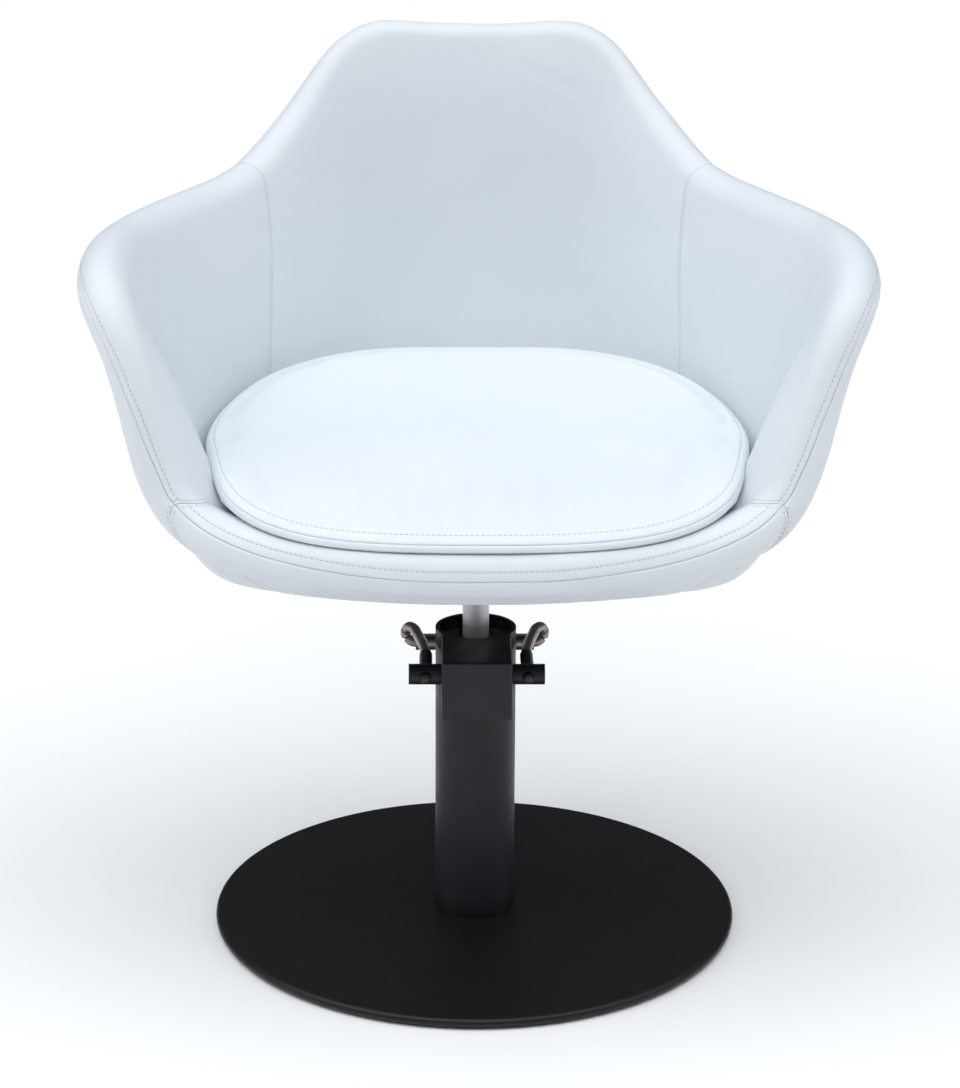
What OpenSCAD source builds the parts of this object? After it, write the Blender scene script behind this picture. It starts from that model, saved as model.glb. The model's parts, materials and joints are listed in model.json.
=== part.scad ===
// Hydraulic styling chair: round base plate, pump column, bucket seat and a loose seat cushion.
// The chair faces -Y. The origin is on the floor, on the axis of the column.

/* [Base] */
// Diameter of the base disc
disc_d = 500; // [460:5:540]
// Thickness of the base disc
disc_t = 9; // [8:0.5:10]
// Thickness of the rubber floor pad
pad_t = 2; // [1.5:0.5:3]

/* [Column] */
// Outside diameter of the column tube
column_d = 76; // [76:1:80]
// Wall thickness of the column tube
column_wall = 4; // [3.5:0.5:4]
// Height of the column's top rim above the floor
column_top = 295; // [290:1:300]
// Diameter of the piston rod
rod_d = 25; // [24:1:26]

/* [Pump] */
// Width of the pump head block
head_w = 65; // [60:1:66]
// Height of the pump head block
head_h = 55; // [52:1:58]
// Distance from the column axis to the front face of the pump head
head_front = 100; // [96:1:104]
// Length of the cross-shaft
shaft_l = 125; // [120:1:135]
// Diameter of the cross-shaft
shaft_d = 19; // [18:0.5:20]
// Diameter of the lever rods
lever_d = 10; // [9:0.5:10]

/* [Seat] */
// Height of the seat deck above the floor, chair at its lowest
deck_z = 452; // [440:1:460]
// Thickness of the padded pan, from deck to underside
pan_t = 64; // [60:1:66]
// Thickness of the leatherette with its wadding
cover_t = 1.6; // [1:0.1:2]
// Thickness of the moulded shell
shell_t = 8; // [6:0.5:9]
// Thickness of the plywood base board
board_t = 12; // [10:1:14]

/* [Quality] */
// Steps along each arm panel
arm_steps = 18; // [14:1:18]
// Steps along the back panel
back_steps = 14; // [12:1:14]
// Steps along the front roll
front_steps = 16; // [12:2:16]

/* [Hidden] */

gap = 0.3;
run_fit = 0.05;
fn_big = 128;
fn_mid = 64;
fn_small = 32;

// ---- levels of the base and column ----
disc_bottom = pad_t;
disc_top = disc_bottom + disc_t;
tube_r = column_d / 2;
bore_r = tube_r - column_wall;
rod_r = rod_d / 2;
plug_top = disc_top + 19;
foot_top = plug_top + 10;
spigot_top = 65.5;
cylinder_top = 266;
cylinder_id_r = 19;
cylinder_od_r = 24;
cap_bottom = 262;
cap_top = column_top - 8;
seal_z = cap_bottom + 17;
pipe_y = -29;
port_z = 249;
base_pcd_r = 21;

// ---- piston ----
piston_bottom = 66;
piston_top = 92;
washer_top = 95;
rod_top = 380;
spigot_r = 8;

// ---- pump head and lever ----
head_top = column_top;
head_bottom = head_top - head_h;
shaft_y = -80;
shaft_z = head_top - 18;
shaft_r = shaft_d / 2;
bush_r = 13;
key_pin_r = 2.5;
plunger_y = -62;
plunger_r = 5;
nose_r = 4;
plunger_top = shaft_z - nose_r - gap;
plunger_bottom = 250;
plug_seat_z = 246;
plug_bottom = 232;
spring_bottom = 236;
release_y = -88;
lever_r = lever_d / 2;
lever_x = 47;
bar_y = 64;
bar_z = 256;
bar_r = 8;
pedal_y = 200;
pedal_z = 129.6;
pedal_screw_x = [-24, 24];
pedal_head_z = pedal_z + 7;
// centre line of the right lever rod, from the domed front end to the crossbar
lever_path = [
    [47, -92, shaft_z], [47, -66, shaft_z], [47, -30, shaft_z], [47, -24, shaft_z],
    [50, 4, 276], [55, 34, 274.5], [58, 50, 274], [63, 61, 272.5], [66.5, 66, 267],
    [66, 67, 261], [61, 65, 256.5], [55, 64, 256], [50, 64, 256]
];
bar_half = 57;
// centre line of the pedal arm, from the crossbar down to the pedal
arm_path = [
    [0, 65, 256], [0, 96, 250], [0, 130, 218], [0, 148, 168], [0, 162, 134], [0, 180, 124], [0, 216, 124]
];
arm_r = 6;

// ---- under the seat ----
pan_z = deck_z - pan_t;
plate_top = pan_z;
plate_bottom = plate_top - 6;
hub_bottom = 338;
hub_r = 26;
hub_screw_z = 352;
bolt_xy = 75;
washer_t = 1.6;
shell_floor_z = pan_z + cover_t + 0.4;
shell_floor_top = shell_floor_z + shell_t;
board_bottom = shell_floor_top + 0.4;
board_top = board_bottom + board_t;
foam_gap = 0.4;
cover_gap = cover_t + foam_gap;

// ---- tub form ----
// Stations of the padded tub's right half, from the back centre to the front centre:
// [place, rim x, rim y, rim z, rim radius, root x, root y, lower handle, upper handle]
STATIONS = [
    [0.000,   0,  257, 807, 15,   0,  150, 70, 150],
    [0.050,  55,  256, 808, 15,  40,  150, 70, 150],
    [0.091, 100,  252, 809, 16,  74,  147, 70, 150],
    [0.120, 127,  246, 791, 17,  97,  142, 70, 150],
    [0.147, 144,  234, 767, 18, 117,  134, 70, 140],
    [0.202, 175,  206, 725, 20, 150,  113, 70, 130],
    [0.277, 220,  150, 682, 22, 184,   75, 70, 110],
    [0.355, 266,   80, 671, 23, 206,   25, 70, 100],
    [0.436, 308,    0, 664, 24, 216,  -25, 72, 100],
    [0.511, 325,  -80, 661, 24, 218,  -68, 68,  95],
    [0.556, 325, -128, 650, 23, 216,  -92, 58,  85],
    [0.591, 316, -155, 632, 21, 214, -106, 50,  70],
    [0.625, 302, -168, 598, 20, 214, -117, 44,  60],
    [0.665, 290, -174, 554, 20, 212, -128, 34,  40],
    [0.708, 279, -175, 508, 20, 208, -140, 28,  30],
    [0.748, 262, -180, 470, 21, 196, -151, 24,  24],
    [0.782, 236, -191, 450, 22, 180, -161, 22,  20],
    [0.827, 192, -209, 439, 22, 154, -173, 21,  18],
    [0.900, 110, -232, 434, 23,  95, -190, 20,  15],
    [1.000,   0, -241, 432, 23,   0, -197, 20,  15]
];
seam_back = 0.27;
seam_front = 0.765;
panel_gap = 0.0015;
seam_cut = 0.004;
mid_z = deck_z - pan_t / 2;
root_half = pan_t / 2;
deck_centre_y = -20;

// ---- cushion form ----
// [place, height of the lower edge on the tub wall, edge thickness]
CUSHION = [
    [0.00, 0.30, 34], [0.14, 0.33, 34], [0.22, 0.38, 34], [0.29, 0.41, 32],
    [0.38, 0.37, 26], [0.48, 0.34, 21], [0.56, 0.35, 19], [0.62, 0.39, 18],
    [0.66, 0.46, 18], [0.70, 0.56, 18], [0.74, 0.74, 18], [0.78, 1.04, 17],
    [0.82, 1.26, 16], [0.87, 1.34, 15], [0.93, 1.33, 15], [1.00, 1.30, 15]
];
cushion_clear = 4.2;
cushion_crown_z = 500;

// ---------- small helpers ----------
function unit(v) = v / norm(v);
function lerp(a, b, t) = a + (b - a) * t;
function smooth(t) = let (k = min(max(t, 0), 1)) k * k * (3 - 2 * k);
function steps(a, b, n) = [for (i = [0:n]) lerp(a, b, i / n)];

// value of a table column at a place, by a smooth curve through the rows, mirrored at both ends
function row_s(T, j) = j < 0 ? -T[-j][0] : j >= len(T) ? 2 - T[2 * len(T) - 2 - j][0] : T[j][0];
function row_v(T, j, k, odd) =
    let (m = j < 0 || j >= len(T))
    (m && odd ? -1 : 1) * T[j < 0 ? -j : j >= len(T) ? 2 * len(T) - 2 - j : j][k];
function row_slope(T, j, k, odd) =
    let (h0 = row_s(T, j) - row_s(T, j - 1), h1 = row_s(T, j + 1) - row_s(T, j))
    let (d0 = (row_v(T, j, k, odd) - row_v(T, j - 1, k, odd)) / h0)
    let (d1 = (row_v(T, j + 1, k, odd) - row_v(T, j, k, odd)) / h1)
    (d0 * h1 + d1 * h0) / (h0 + h1);
function row_below(T, a) = max([for (j = [0:len(T) - 2]) if (T[j][0] <= a) j]);
function column(T, k, odd, a) =
    let (j = row_below(T, a), h = T[j + 1][0] - T[j][0], u = (a - T[j][0]) / h)
    let (u2 = u * u, u3 = u2 * u)
    (2 * u3 - 3 * u2 + 1) * T[j][k] + (u3 - 2 * u2 + u) * h * row_slope(T, j, k, odd)
    + (3 * u2 - 2 * u3) * T[j + 1][k] + (u3 - u2) * h * row_slope(T, j + 1, k, odd);

// a place runs from -1 (front centre, left side) through 0 (back centre) to 1 (front centre)
function fold(s) = let (a = abs(s)) a > 1 ? 2 - a : a;
function side(s) = (s < -1 || (s >= 0 && s <= 1)) ? 1 : -1;
function rim(s) = let (a = fold(s), x = column(STATIONS, 1, true, a))
    [side(s) * x, column(STATIONS, 2, false, a), column(STATIONS, 3, false, a)];
function root(s) = let (a = fold(s))
    [side(s) * column(STATIONS, 5, true, a), column(STATIONS, 6, false, a), mid_z];

// the wall's section at one place: [four curve points, rim direction, rim radius]
function section(s) =
    let (e = 0.003, p0 = root(s), p3 = rim(s), a = fold(s))
    let (along = unit(root(s + e) - root(s - e)), outward = [-along[1], along[0], 0])
    let (tau = unit(rim(s + e) - rim(s - e)), v = p3 - p0)
    let (upright = lerp(0.1, 1, smooth((a - 0.25) / 0.3)))
    let (rise = unit(v - upright * (v * tau) * tau))
    let (p1 = p0 + outward * column(STATIONS, 7, false, a) * (outward * v < 0 ? -1 : 1))
    [[p0, p1, p3 - rise * column(STATIONS, 8, false, a), p3], tau, column(STATIONS, 4, false, a)];
function curve(P, t) = let (r = 1 - t)
    r * r * r * P[0] + 3 * r * r * t * P[1] + 3 * r * t * t * P[2] + t * t * t * P[3];
function curve_dir(P, t) = let (r = 1 - t)
    r * r * (P[1] - P[0]) + 2 * r * t * (P[2] - P[1]) + t * t * (P[3] - P[2]);

// a place's three neighbouring sections, worked out once for each row of points
function rows(s) = [section(s - 0.004), section(s), section(s + 0.004)];
function wall_normal(R, t) =
    unit(cross(curve(R[2][0], t) - curve(R[0][0], t), curve_dir(R[1][0], t)));
function half_thickness(R, t) = root_half + (R[1][2] - root_half) * smooth(t / 0.55);

// near the deck the inner wall is lifted straight up, so that its fillet doesn't fold on itself
function inner_normal(R, t) = unit(lerp([0, 0, 1], wall_normal(R, t), smooth(t / 0.5)));

// a point of the padded surface, set in by depth: h 0 to 1 climbs the inner wall,
// 1 to 2 goes over the rim roll and 2 to 3 comes down the outer wall
function skin(R, h, depth) =
    h > 1 && h < 2 ? roll_point(R, (h - 1) * 180, depth)
    : h <= 1 ? curve(R[1][0], h) + inner_normal(R, h) * (half_thickness(R, h) - depth)
    : curve(R[1][0], 3 - h) - wall_normal(R, 3 - h) * (half_thickness(R, 3 - h) - depth);
function roll_point(R, a, depth) =
    let (n = wall_normal(R, 1), c = R[1][0][3], up = cross(R[1][1], n))
    let (d = up * (curve_dir(R[1][0], 1) * up < 0 ? -1 : 1))
    c + (n * cos(a) + d * sin(a)) * (R[1][2] - depth);

// rows of surface points over places S and heights H, at one depth
function sheet(S, H, depth) = [for (s = S) let (R = rows(s)) [for (h = H) skin(R, h, depth)]];

// ---------- solids from rows of points ----------
function tri_pair(a, b, c, d) = [[a, b, c], [a, c, d]];
// solid between an outer sheet A and an inner sheet B with the same rows;
// crossed splits B's quads along their other diagonal, to lie parallel to a layer built the other way up
module slab(A, B, closed = false, crossed = false) {
    m = len(A);
    n = len(A[0]);
    points = concat([for (r = A) each r], [for (r = B) each r]);
    last = closed ? m - 1 : m - 2;
    faces = concat(
        [for (i = [0:last], j = [0:n - 2]) let (k = (i + 1) % m)
            each tri_pair(i * n + j, i * n + j + 1, k * n + j + 1, k * n + j)],
        [for (i = [0:last], j = [0:n - 2])
            let (k = (i + 1) % m, a = (m + i) * n + j, b = (m + k) * n + j)
            each crossed ? tri_pair(b, b + 1, a + 1, a) : tri_pair(a, b, b + 1, a + 1)],
        [for (i = [0:last]) let (k = (i + 1) % m)
            each tri_pair(i * n, k * n, (m + k) * n, (m + i) * n)],
        [for (i = [0:last]) let (k = (i + 1) % m)
            each tri_pair(i * n + n - 1, (m + i) * n + n - 1, (m + k) * n + n - 1, k * n + n - 1)],
        closed ? [] : [for (j = [0:n - 2]) each tri_pair(j, m * n + j, m * n + j + 1, j + 1)],
        closed ? [] : [for (j = [0:n - 2]) let (a = (m - 1) * n, b = (2 * m - 1) * n)
            each tri_pair(a + j, a + j + 1, b + j + 1, b + j)]
    );
    polyhedron(points = points, faces = faces, convexity = 10);
}

// closed solid of rings stacked between two end points
module ring_stack(bottom, rings, top) {
    m = len(rings);
    n = len(rings[0]);
    points = concat([for (r = rings) each r], [bottom, top]);
    faces = concat(
        [for (i = [0:m - 2], j = [0:n - 1]) let (k = (j + 1) % n)
            each tri_pair(i * n + j, i * n + k, (i + 1) * n + k, (i + 1) * n + j)],
        [for (j = [0:n - 1]) [m * n, (j + 1) % n, j]],
        [for (j = [0:n - 1]) [m * n + 1, (m - 1) * n + j, (m - 1) * n + (j + 1) % n]]
    );
    polyhedron(points = points, faces = faces, convexity = 10);
}

// round bar swept along points, with a domed end where asked
function frame_at(P, i) =
    let (d = unit(P[min(i + 1, len(P) - 1)] - P[max(i - 1, 0)]))
    let (ref = abs(d[2]) > 0.8 ? [0, 1, 0] : [0, 0, 1], x = unit(cross(ref, d)))
    [x, cross(d, x), d];
function ring_at(c, F, r, n) = [for (k = [0:n - 1])
    let (a = 360 * k / n)
    c + (F[0] * cos(a) + F[1] * sin(a)) * r];
module swept_bar(P, r, n, dome = 0) {
    m = len(P);
    F0 = frame_at(P, 0);
    dome_angles = dome > 0 ? [60, 30] : [];
    dome_rings = [for (a = dome_angles) ring_at(P[0] - F0[2] * dome * sin(a), F0, r * cos(a), n)];
    rings = concat(dome_rings, [for (i = [0:m - 1]) ring_at(P[i], frame_at(P, i), r, n)]);
    mirror_turn = [for (R = rings) [for (k = [0:n - 1]) R[(n - k) % n]]];
    ring_stack(P[0] - F0[2] * dome, mirror_turn, P[m - 1]);
}

// smooth curve through control points, with a fixed number of steps in each span
function smooth_path(P, k) =
    let (n = len(P))
    concat([for (i = [0:n - 2], q = [0:k - 1])
        let (t = q / k, a = P[max(i - 1, 0)], b = P[i], c = P[i + 1], d = P[min(i + 2, n - 1)])
        let (square_term = 2 * a - 5 * b + 4 * c - d, cube_term = 3 * b - a - 3 * c + d)
        0.5 * (2 * b + (c - a) * t + square_term * t * t + cube_term * t * t * t)],
        [P[n - 1]]);

// coil spring standing on the point p, axis +Z
module coil_spring(p, radius, wire_r, height, turns) {
    per_turn = 12;
    total = turns * per_turn;
    span = height - 2 * wire_r;
    path = [for (i = [0:total])
        let (a = 360 * i / per_turn)
        p + [radius * cos(a), radius * sin(a), wire_r + span * i / total]];
    swept_bar(path, wire_r, 6);
}

// ring with a plain bore
module ring(r_out, r_in, z0, z1, fn = fn_mid) {
    difference() {
        translate([0, 0, z0]) cylinder(h = z1 - z0, r = r_out, $fn = fn);
        translate([0, 0, z0 - 1]) cylinder(h = z1 - z0 + 2, r = r_in, $fn = fn);
    }
}
module post(x, y, z0, z1, r, fn = fn_small) {
    translate([x, y, z0]) cylinder(h = z1 - z0, r = r, $fn = fn);
}
// bar along X between two x values, at the given y and z
module x_bar(x0, x1, y, z, r, fn = fn_mid) {
    translate([x0, y, z]) rotate([0, 90, 0]) cylinder(h = x1 - x0, r = r, $fn = fn);
}
module y_bar(y0, y1, x, z, r, fn = fn_small) {
    translate([x, y0, z]) rotate([-90, 0, 0]) cylinder(h = y1 - y0, r = r, $fn = fn);
}
module at_base_screws() {
    for (a = [45:90:315]) rotate([0, 0, a]) translate([base_pcd_r, 0, 0]) children();
}
module at_plate_bolts() {
    for (x = [-bolt_xy, bolt_xy], y = [-bolt_xy, bolt_xy]) translate([x, y, 0]) children();
}

// ---------- base and column ----------
module floor_pad() {
    color("#1b1b1c") cylinder(h = pad_t, r = disc_d / 2 - 12, $fn = fn_big);
}

module base_disc() {
    edge_r = disc_t / 2;
    color("#121316") difference() {
        rotate_extrude($fn = fn_big) {
            translate([0, disc_bottom]) square([disc_d / 2 - edge_r, disc_t]);
            translate([disc_d / 2 - edge_r, disc_bottom + edge_r]) circle(r = edge_r, $fn = fn_mid);
        }
        at_base_screws() {
            translate([0, 0, disc_bottom - 1]) cylinder(h = disc_t + 2, r = 5.2, $fn = fn_small);
            translate([0, 0, disc_bottom]) cylinder(h = 5, r1 = 10.3, r2 = 5.2, $fn = fn_small);
        }
    }
}

module base_screws() {
    head_z = disc_bottom + 0.2;
    color("#8d9094") at_base_screws() {
        translate([0, 0, head_z]) cylinder(h = 4.6, r1 = 9.8, r2 = 4.9, $fn = fn_small);
        translate([0, 0, head_z + 4]) cylinder(h = 20, r = 4.9, $fn = fn_small);
    }
}

module column_foot_plug() {
    color("#6f7276") difference() {
        ring(bore_r, 6, disc_top, plug_top);
        at_base_screws() translate([0, 0, disc_top - 1]) cylinder(h = plug_top, r = 5, $fn = fn_small);
    }
}

module column_tube() {
    color("#15171a") difference() {
        ring(tube_r, bore_r, disc_top, column_top, fn_big);
        y_bar(-tube_r - 1, -bore_r + 1, 0, port_z, 2.5);
    }
}

module cylinder_foot() {
    color("#7b7e83") difference() {
        union() {
            post(0, 0, plug_top, foot_top, bore_r - run_fit, fn_mid);
            post(0, 0, foot_top - 1, spigot_top, cylinder_id_r, fn_mid);
        }
        ring(cylinder_id_r + 2, 16.5, 48, 51);
        translate([0, 0, plug_top + 5]) cylinder(h = spigot_top, r = 2, $fn = fn_small);
        y_bar(pipe_y, 0, 0, plug_top + 5, 2);
        translate([0, pipe_y, plug_top + 4]) cylinder(h = 10, r = 3.05, $fn = fn_small);
    }
}

module cylinder_foot_seal() {
    color("#202020") ring(cylinder_id_r - 0.02, 16.6, 48.1, 50.9);
}

module hydraulic_cylinder() {
    color("#a5a8ac") ring(cylinder_od_r, cylinder_id_r, foot_top, cylinder_top);
}

module transfer_pipe() {
    pipe_foot = plug_top + 6;
    color("#b0884a") difference() {
        post(0, pipe_y, pipe_foot, port_z + 5, 3);
        post(0, pipe_y, pipe_foot - 1, port_z + 2, 1.8);
        y_bar(pipe_y - 4, pipe_y, 0, port_z, 1.6);
    }
}

module column_cap() {
    color("#17181b") difference() {
        ring(bore_r, 16, cap_bottom, cap_top, fn_big);
        ring(cylinder_od_r + 0.1, cylinder_id_r - 0.5, cap_bottom - 1, cylinder_top);
        post(0, 0, seal_z, cap_top + 1, 17.6, fn_mid);
    }
}

module rod_guide_bush() {
    color("#9a7b43") ring(16, rod_r + run_fit, cap_bottom, seal_z);
}

module rod_wiper_seal() {
    color("#0d0d0d") ring(17.5, rod_r + run_fit, seal_z + 0.2, cap_top - 1.5);
}

// ---------- pump head ----------
module pump_head() {
    half = head_w / 2;
    corner = 2.5;
    bevel = 1.7;
    cam_room = [16, 94 - tube_r + 2, 30];
    color("#1c1f23") difference() {
        translate([0, 0, head_bottom]) linear_extrude(head_h) union() {
            translate([-half, -head_front + corner]) square([head_w, head_front - corner - 20]);
            translate([-half + corner, -head_front]) square([head_w - 2 * corner, corner + 1]);
            for (x = [-half + corner, half - corner])
                translate([x, -head_front + corner]) circle(r = corner, $fn = fn_small);
        }
        post(0, 0, head_bottom - 1, head_top + 1, tube_r, fn_big);
        translate([0, -head_front, head_top])
            rotate([45, 0, 0]) cube([head_w + 9, bevel, bevel], center = true);
        for (x = [-half, half])
            translate([x, -head_front / 2, head_top])
                rotate([0, 45, 0]) cube([bevel, head_front + 9, bevel], center = true);
        x_bar(-half - 1, half + 1, shaft_y, shaft_z, bush_r);
        translate([-8, -94, shaft_z - 16]) cube(cam_room);
        post(0, plunger_y, head_bottom - 1, shaft_z - 14, plunger_r + run_fit);
        post(0, plunger_y, head_bottom - 1, plug_seat_z, 6.5);
        post(0, release_y, 242, shaft_z - 14, 2.55);
        for (x = [0, 12]) y_bar(plunger_y, -tube_r + 2, x, port_z, 2);
        for (x = [0, 12]) y_bar(-52, -44, x, port_z, 3.2);
        x_bar(0, 12, plunger_y + 4, port_z, 1.5, fn_small);
    }
}

module shaft_bushes() {
    color("#a8863f") for (x = [-28, 14])
        x_ring(x, 14, bush_r, shaft_r + run_fit);
}
module shaft_seals() {
    color("#0c0c0c") for (x = [-32.3, 28.3])
        x_ring(x, 4, bush_r - 0.1, shaft_r + run_fit);
}
// ring on the shaft's axis, from x0 and w wide
module x_ring(x0, w, r_out, r_in) {
    difference() {
        x_bar(x0, x0 + w, shaft_y, shaft_z, r_out);
        x_bar(x0 - 1, x0 + w + 1, shaft_y, shaft_z, r_in);
    }
}

module pump_bore_plug() {
    color("#55585c") difference() {
        union() {
            post(0, plunger_y, head_bottom - 1, plug_seat_z, 6.45);
            post(0, plunger_y, plug_bottom, head_bottom, 8.5, 6);
        }
        post(0, plunger_y, spring_bottom, plug_seat_z + 1, plunger_r + run_fit);
    }
}

module check_balls() {
    color("#c9ccd0") for (x = [0, 12]) translate([x, -48, port_z]) sphere(r = 3, $fn = fn_small);
}

module plunger_spring() {
    color("#b9bcc0")
        coil_spring([0, plunger_y, spring_bottom], 3.9, 0.6, plunger_bottom - spring_bottom, 5);
}

module pump_plunger() {
    color("#c4c7cb") post(0, plunger_y, plunger_bottom, plunger_top, plunger_r);
}

module release_pin() {
    color("#c4c7cb") post(0, release_y, 248, shaft_z - 11.5, 2.5);
}

module release_spring() {
    color("#b9bcc0") coil_spring([0, release_y, 242], 1.9, 0.4, 6, 4);
}

// ---------- foot lever ----------
module cross_shaft() {
    color("#1a1c1f") difference() {
        x_bar(-shaft_l / 2, shaft_l / 2, shaft_y, shaft_z, shaft_r);
        for (x = [-lever_x, lever_x]) y_bar(shaft_y - 14, shaft_y + 14, x, shaft_z, lever_r + 0.2);
        post(0, shaft_y, shaft_z - 14, shaft_z + 14, key_pin_r + run_fit);
        for (x = [-63, 50]) x_bar(x, x + 13, shaft_y, shaft_z, 2.5, fn_small);
    }
}

module pump_cam() {
    color("#7d8085") difference() {
        union() {
            x_bar(-6, 6, shaft_y, shaft_z, 12.5);
            x_bar(-6, 6, plunger_y, shaft_z, nose_r, fn_small);
            translate([-6, shaft_y, shaft_z - 3.5]) cube([12, plunger_y - shaft_y, 7]);
        }
        x_bar(-7, 7, shaft_y, shaft_z, shaft_r);
        post(0, shaft_y, shaft_z - 14, shaft_z + 14, key_pin_r + run_fit);
    }
}

module cam_pin() {
    color("#c9ccd0") post(0, shaft_y, shaft_z - 12, shaft_z + 12, key_pin_r);
}

module lever_rod() {
    swept_bar(smooth_path(lever_path, 3), lever_r, 16, 3.5);
}
module lever_rod_right() {
    color("#6d6661") lever_rod();
}
module lever_rod_left() {
    color("#6d6661") mirror([1, 0, 0]) lever_rod();
}

module rod_sleeves() {
    color("#141517") for (x = [-lever_x, lever_x]) difference() {
        y_bar(shaft_y + shaft_r + 0.2, -30, x, shaft_z, lever_r + 1);
        y_bar(shaft_y, -20, x, shaft_z, lever_r + 0.3);
    }
}

module rod_retaining_screws() {
    inner_x = lever_x + lever_r + 0.3;
    outer_x = 60;
    color("#2a2b2d") for (x = [-outer_x, inner_x])
        x_bar(x, x + outer_x - inner_x, shaft_y, shaft_z, 2.4, fn_small);
}

module lever_crossbar() {
    color("#33312f") difference() {
        x_bar(-bar_half, bar_half, bar_y, bar_z, bar_r);
        for (x = [-bar_half - 1, bar_half - 8]) x_bar(x, x + 9, bar_y, bar_z, lever_r + 0.2);
        y_bar(bar_y, bar_y + 12, 0, bar_z, arm_r + 0.2);
    }
}

module pedal_arm() {
    color("#1b1c1e") swept_bar(smooth_path(arm_path, 3), arm_r, 14);
}

module pedal_plate() {
    color("#1b1c1e") difference() {
        translate([0, pedal_y, pedal_z]) linear_extrude(3) rounded_plate(70, 46, 8);
        for (x = pedal_screw_x) post(x, pedal_y, pedal_z - 1, pedal_z + 4, 2.7);
    }
}
// flat outline, w wide and d deep with corners of radius r, centred
module rounded_plate(w, d, r) {
    square([w - 2 * r, d], center = true);
    square([w, d - 2 * r], center = true);
    for (x = [-1, 1], y = [-1, 1])
        translate([x * (w / 2 - r), y * (d / 2 - r)]) circle(r = r, $fn = fn_small);
}

module pedal_rubber() {
    color("#111111") difference() {
        translate([0, pedal_y, pedal_z + 3.2]) linear_extrude(8.8) rounded_plate(72, 48, 9);
        for (x = pedal_screw_x) {
            post(x, pedal_y, pedal_z, pedal_z + 13, 2.7);
            post(x, pedal_y, pedal_head_z, pedal_z + 13, 5);
        }
    }
}

module pedal_screws() {
    color("#9b9ea2") for (x = pedal_screw_x) {
        post(x, pedal_y, pedal_z, pedal_head_z + 1, 2.5);
        post(x, pedal_y, pedal_head_z, pedal_head_z + 2, 4.6);
    }
}

// ---------- piston ----------
module piston_head() {
    color("#8b8e93") difference() {
        ring(cylinder_id_r - 0.07, spigot_r + run_fit, piston_bottom, piston_top);
        ring(cylinder_id_r + 2, 16, 78, 84);
        translate([0, 0, piston_bottom - 1]) cylinder(h = 8, r = 11, $fn = fn_mid);
    }
}

module piston_seal() {
    color("#1d1d1d") ring(cylinder_id_r - 0.04, 16.05, 78.2, 83.8);
}

module thrust_washer() {
    color("#a8863f") ring(rod_r - 0.1, spigot_r + 0.1, piston_top, washer_top);
}

module piston_rod() {
    color("#c3c6ca") difference() {
        union() {
            translate([0, 0, washer_top]) cylinder(h = rod_top - washer_top, r = rod_r, $fn = fn_mid);
            translate([0, 0, 67]) cylinder(h = washer_top - 66, r = spigot_r, $fn = fn_mid);
        }
        ring(spigot_r + 2, 7.2, 69.9, 71.6);
    }
}

module rod_retaining_ring() {
    color("#3c3e41") ring(9.8, 7.25, 70, 71.5);
}

// ---------- seat mounting ----------
module seat_hub() {
    color("#1a1b1d") difference() {
        ring(hub_r, rod_r, hub_bottom, plate_bottom);
        x_bar(-30, 30, 0, hub_screw_z, 4.05, fn_small);
    }
}

module hub_set_screws() {
    screw_l = 12.5;
    color("#55585c") for (x = [-rod_r - screw_l, rod_r])
        x_bar(x, x + screw_l, 0, hub_screw_z, 4, fn_small);
}

module plate_ribs() {
    rib_t = 5;
    tip = 84;
    outline = [
        [hub_r, plate_bottom - 34], [hub_r, plate_bottom],
        [tip, plate_bottom], [tip, plate_bottom - 5]
    ];
    color("#1a1b1d") for (a = [0:90:270])
        rotate([0, 0, a]) translate([0, rib_t / 2, 0])
            rotate([90, 0, 0]) linear_extrude(rib_t) polygon(outline);
}

module seat_plate() {
    color("#1a1b1d") difference() {
        translate([0, 0, plate_bottom])
            linear_extrude(plate_top - plate_bottom) rounded_plate(184, 184, 14);
        at_plate_bolts() translate([0, 0, plate_bottom - 1]) cylinder(h = 9, r = 4.3, $fn = fn_small);
    }
}

module plate_bolts() {
    color("#9b9ea2") at_plate_bolts() {
        translate([0, 0, plate_bottom - washer_t - 5.3]) cylinder(h = 5.3, r = 7.5, $fn = 6);
        translate([0, 0, plate_bottom - washer_t - 1]) cylinder(h = 26, r = 4, $fn = fn_small);
    }
}

module plate_washers() {
    color("#b4b7bb") at_plate_bolts() ring(8.5, 4.2, plate_bottom - washer_t, plate_bottom, fn_small);
}

module t_nuts() {
    color("#b4b7bb") at_plate_bolts() {
        ring(5.5, 4.05, board_bottom, board_top, fn_small);
        ring(10, 4.05, board_top, board_top + 1.2, fn_small);
    }
}

// outline of the pan, moved in by inset
function pan_outline(inset) = [for (s = all_round)
    let (e = 0.003, p = root(s), d = unit(root(s + e) - root(s - e)))
    [p[0] + d[1] * inset, p[1] - d[0] * inset]];

module pan_slice(z0, z1, inset) {
    translate([0, 0, z0]) linear_extrude(z1 - z0) polygon(pan_outline(inset));
}

module base_board() {
    color("#b08a58") difference() {
        pan_slice(board_bottom, board_top, 6);
        at_plate_bolts() post(0, 0, board_bottom - 1, board_top + 1, 5.5);
    }
}

module dust_cover() {
    color("#202123") difference() {
        pan_slice(pan_z, pan_z + cover_t, 0.6);
        at_plate_bolts() translate([0, 0, pan_z - 1]) cylinder(h = 4, r = 5, $fn = fn_small);
    }
}

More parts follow.
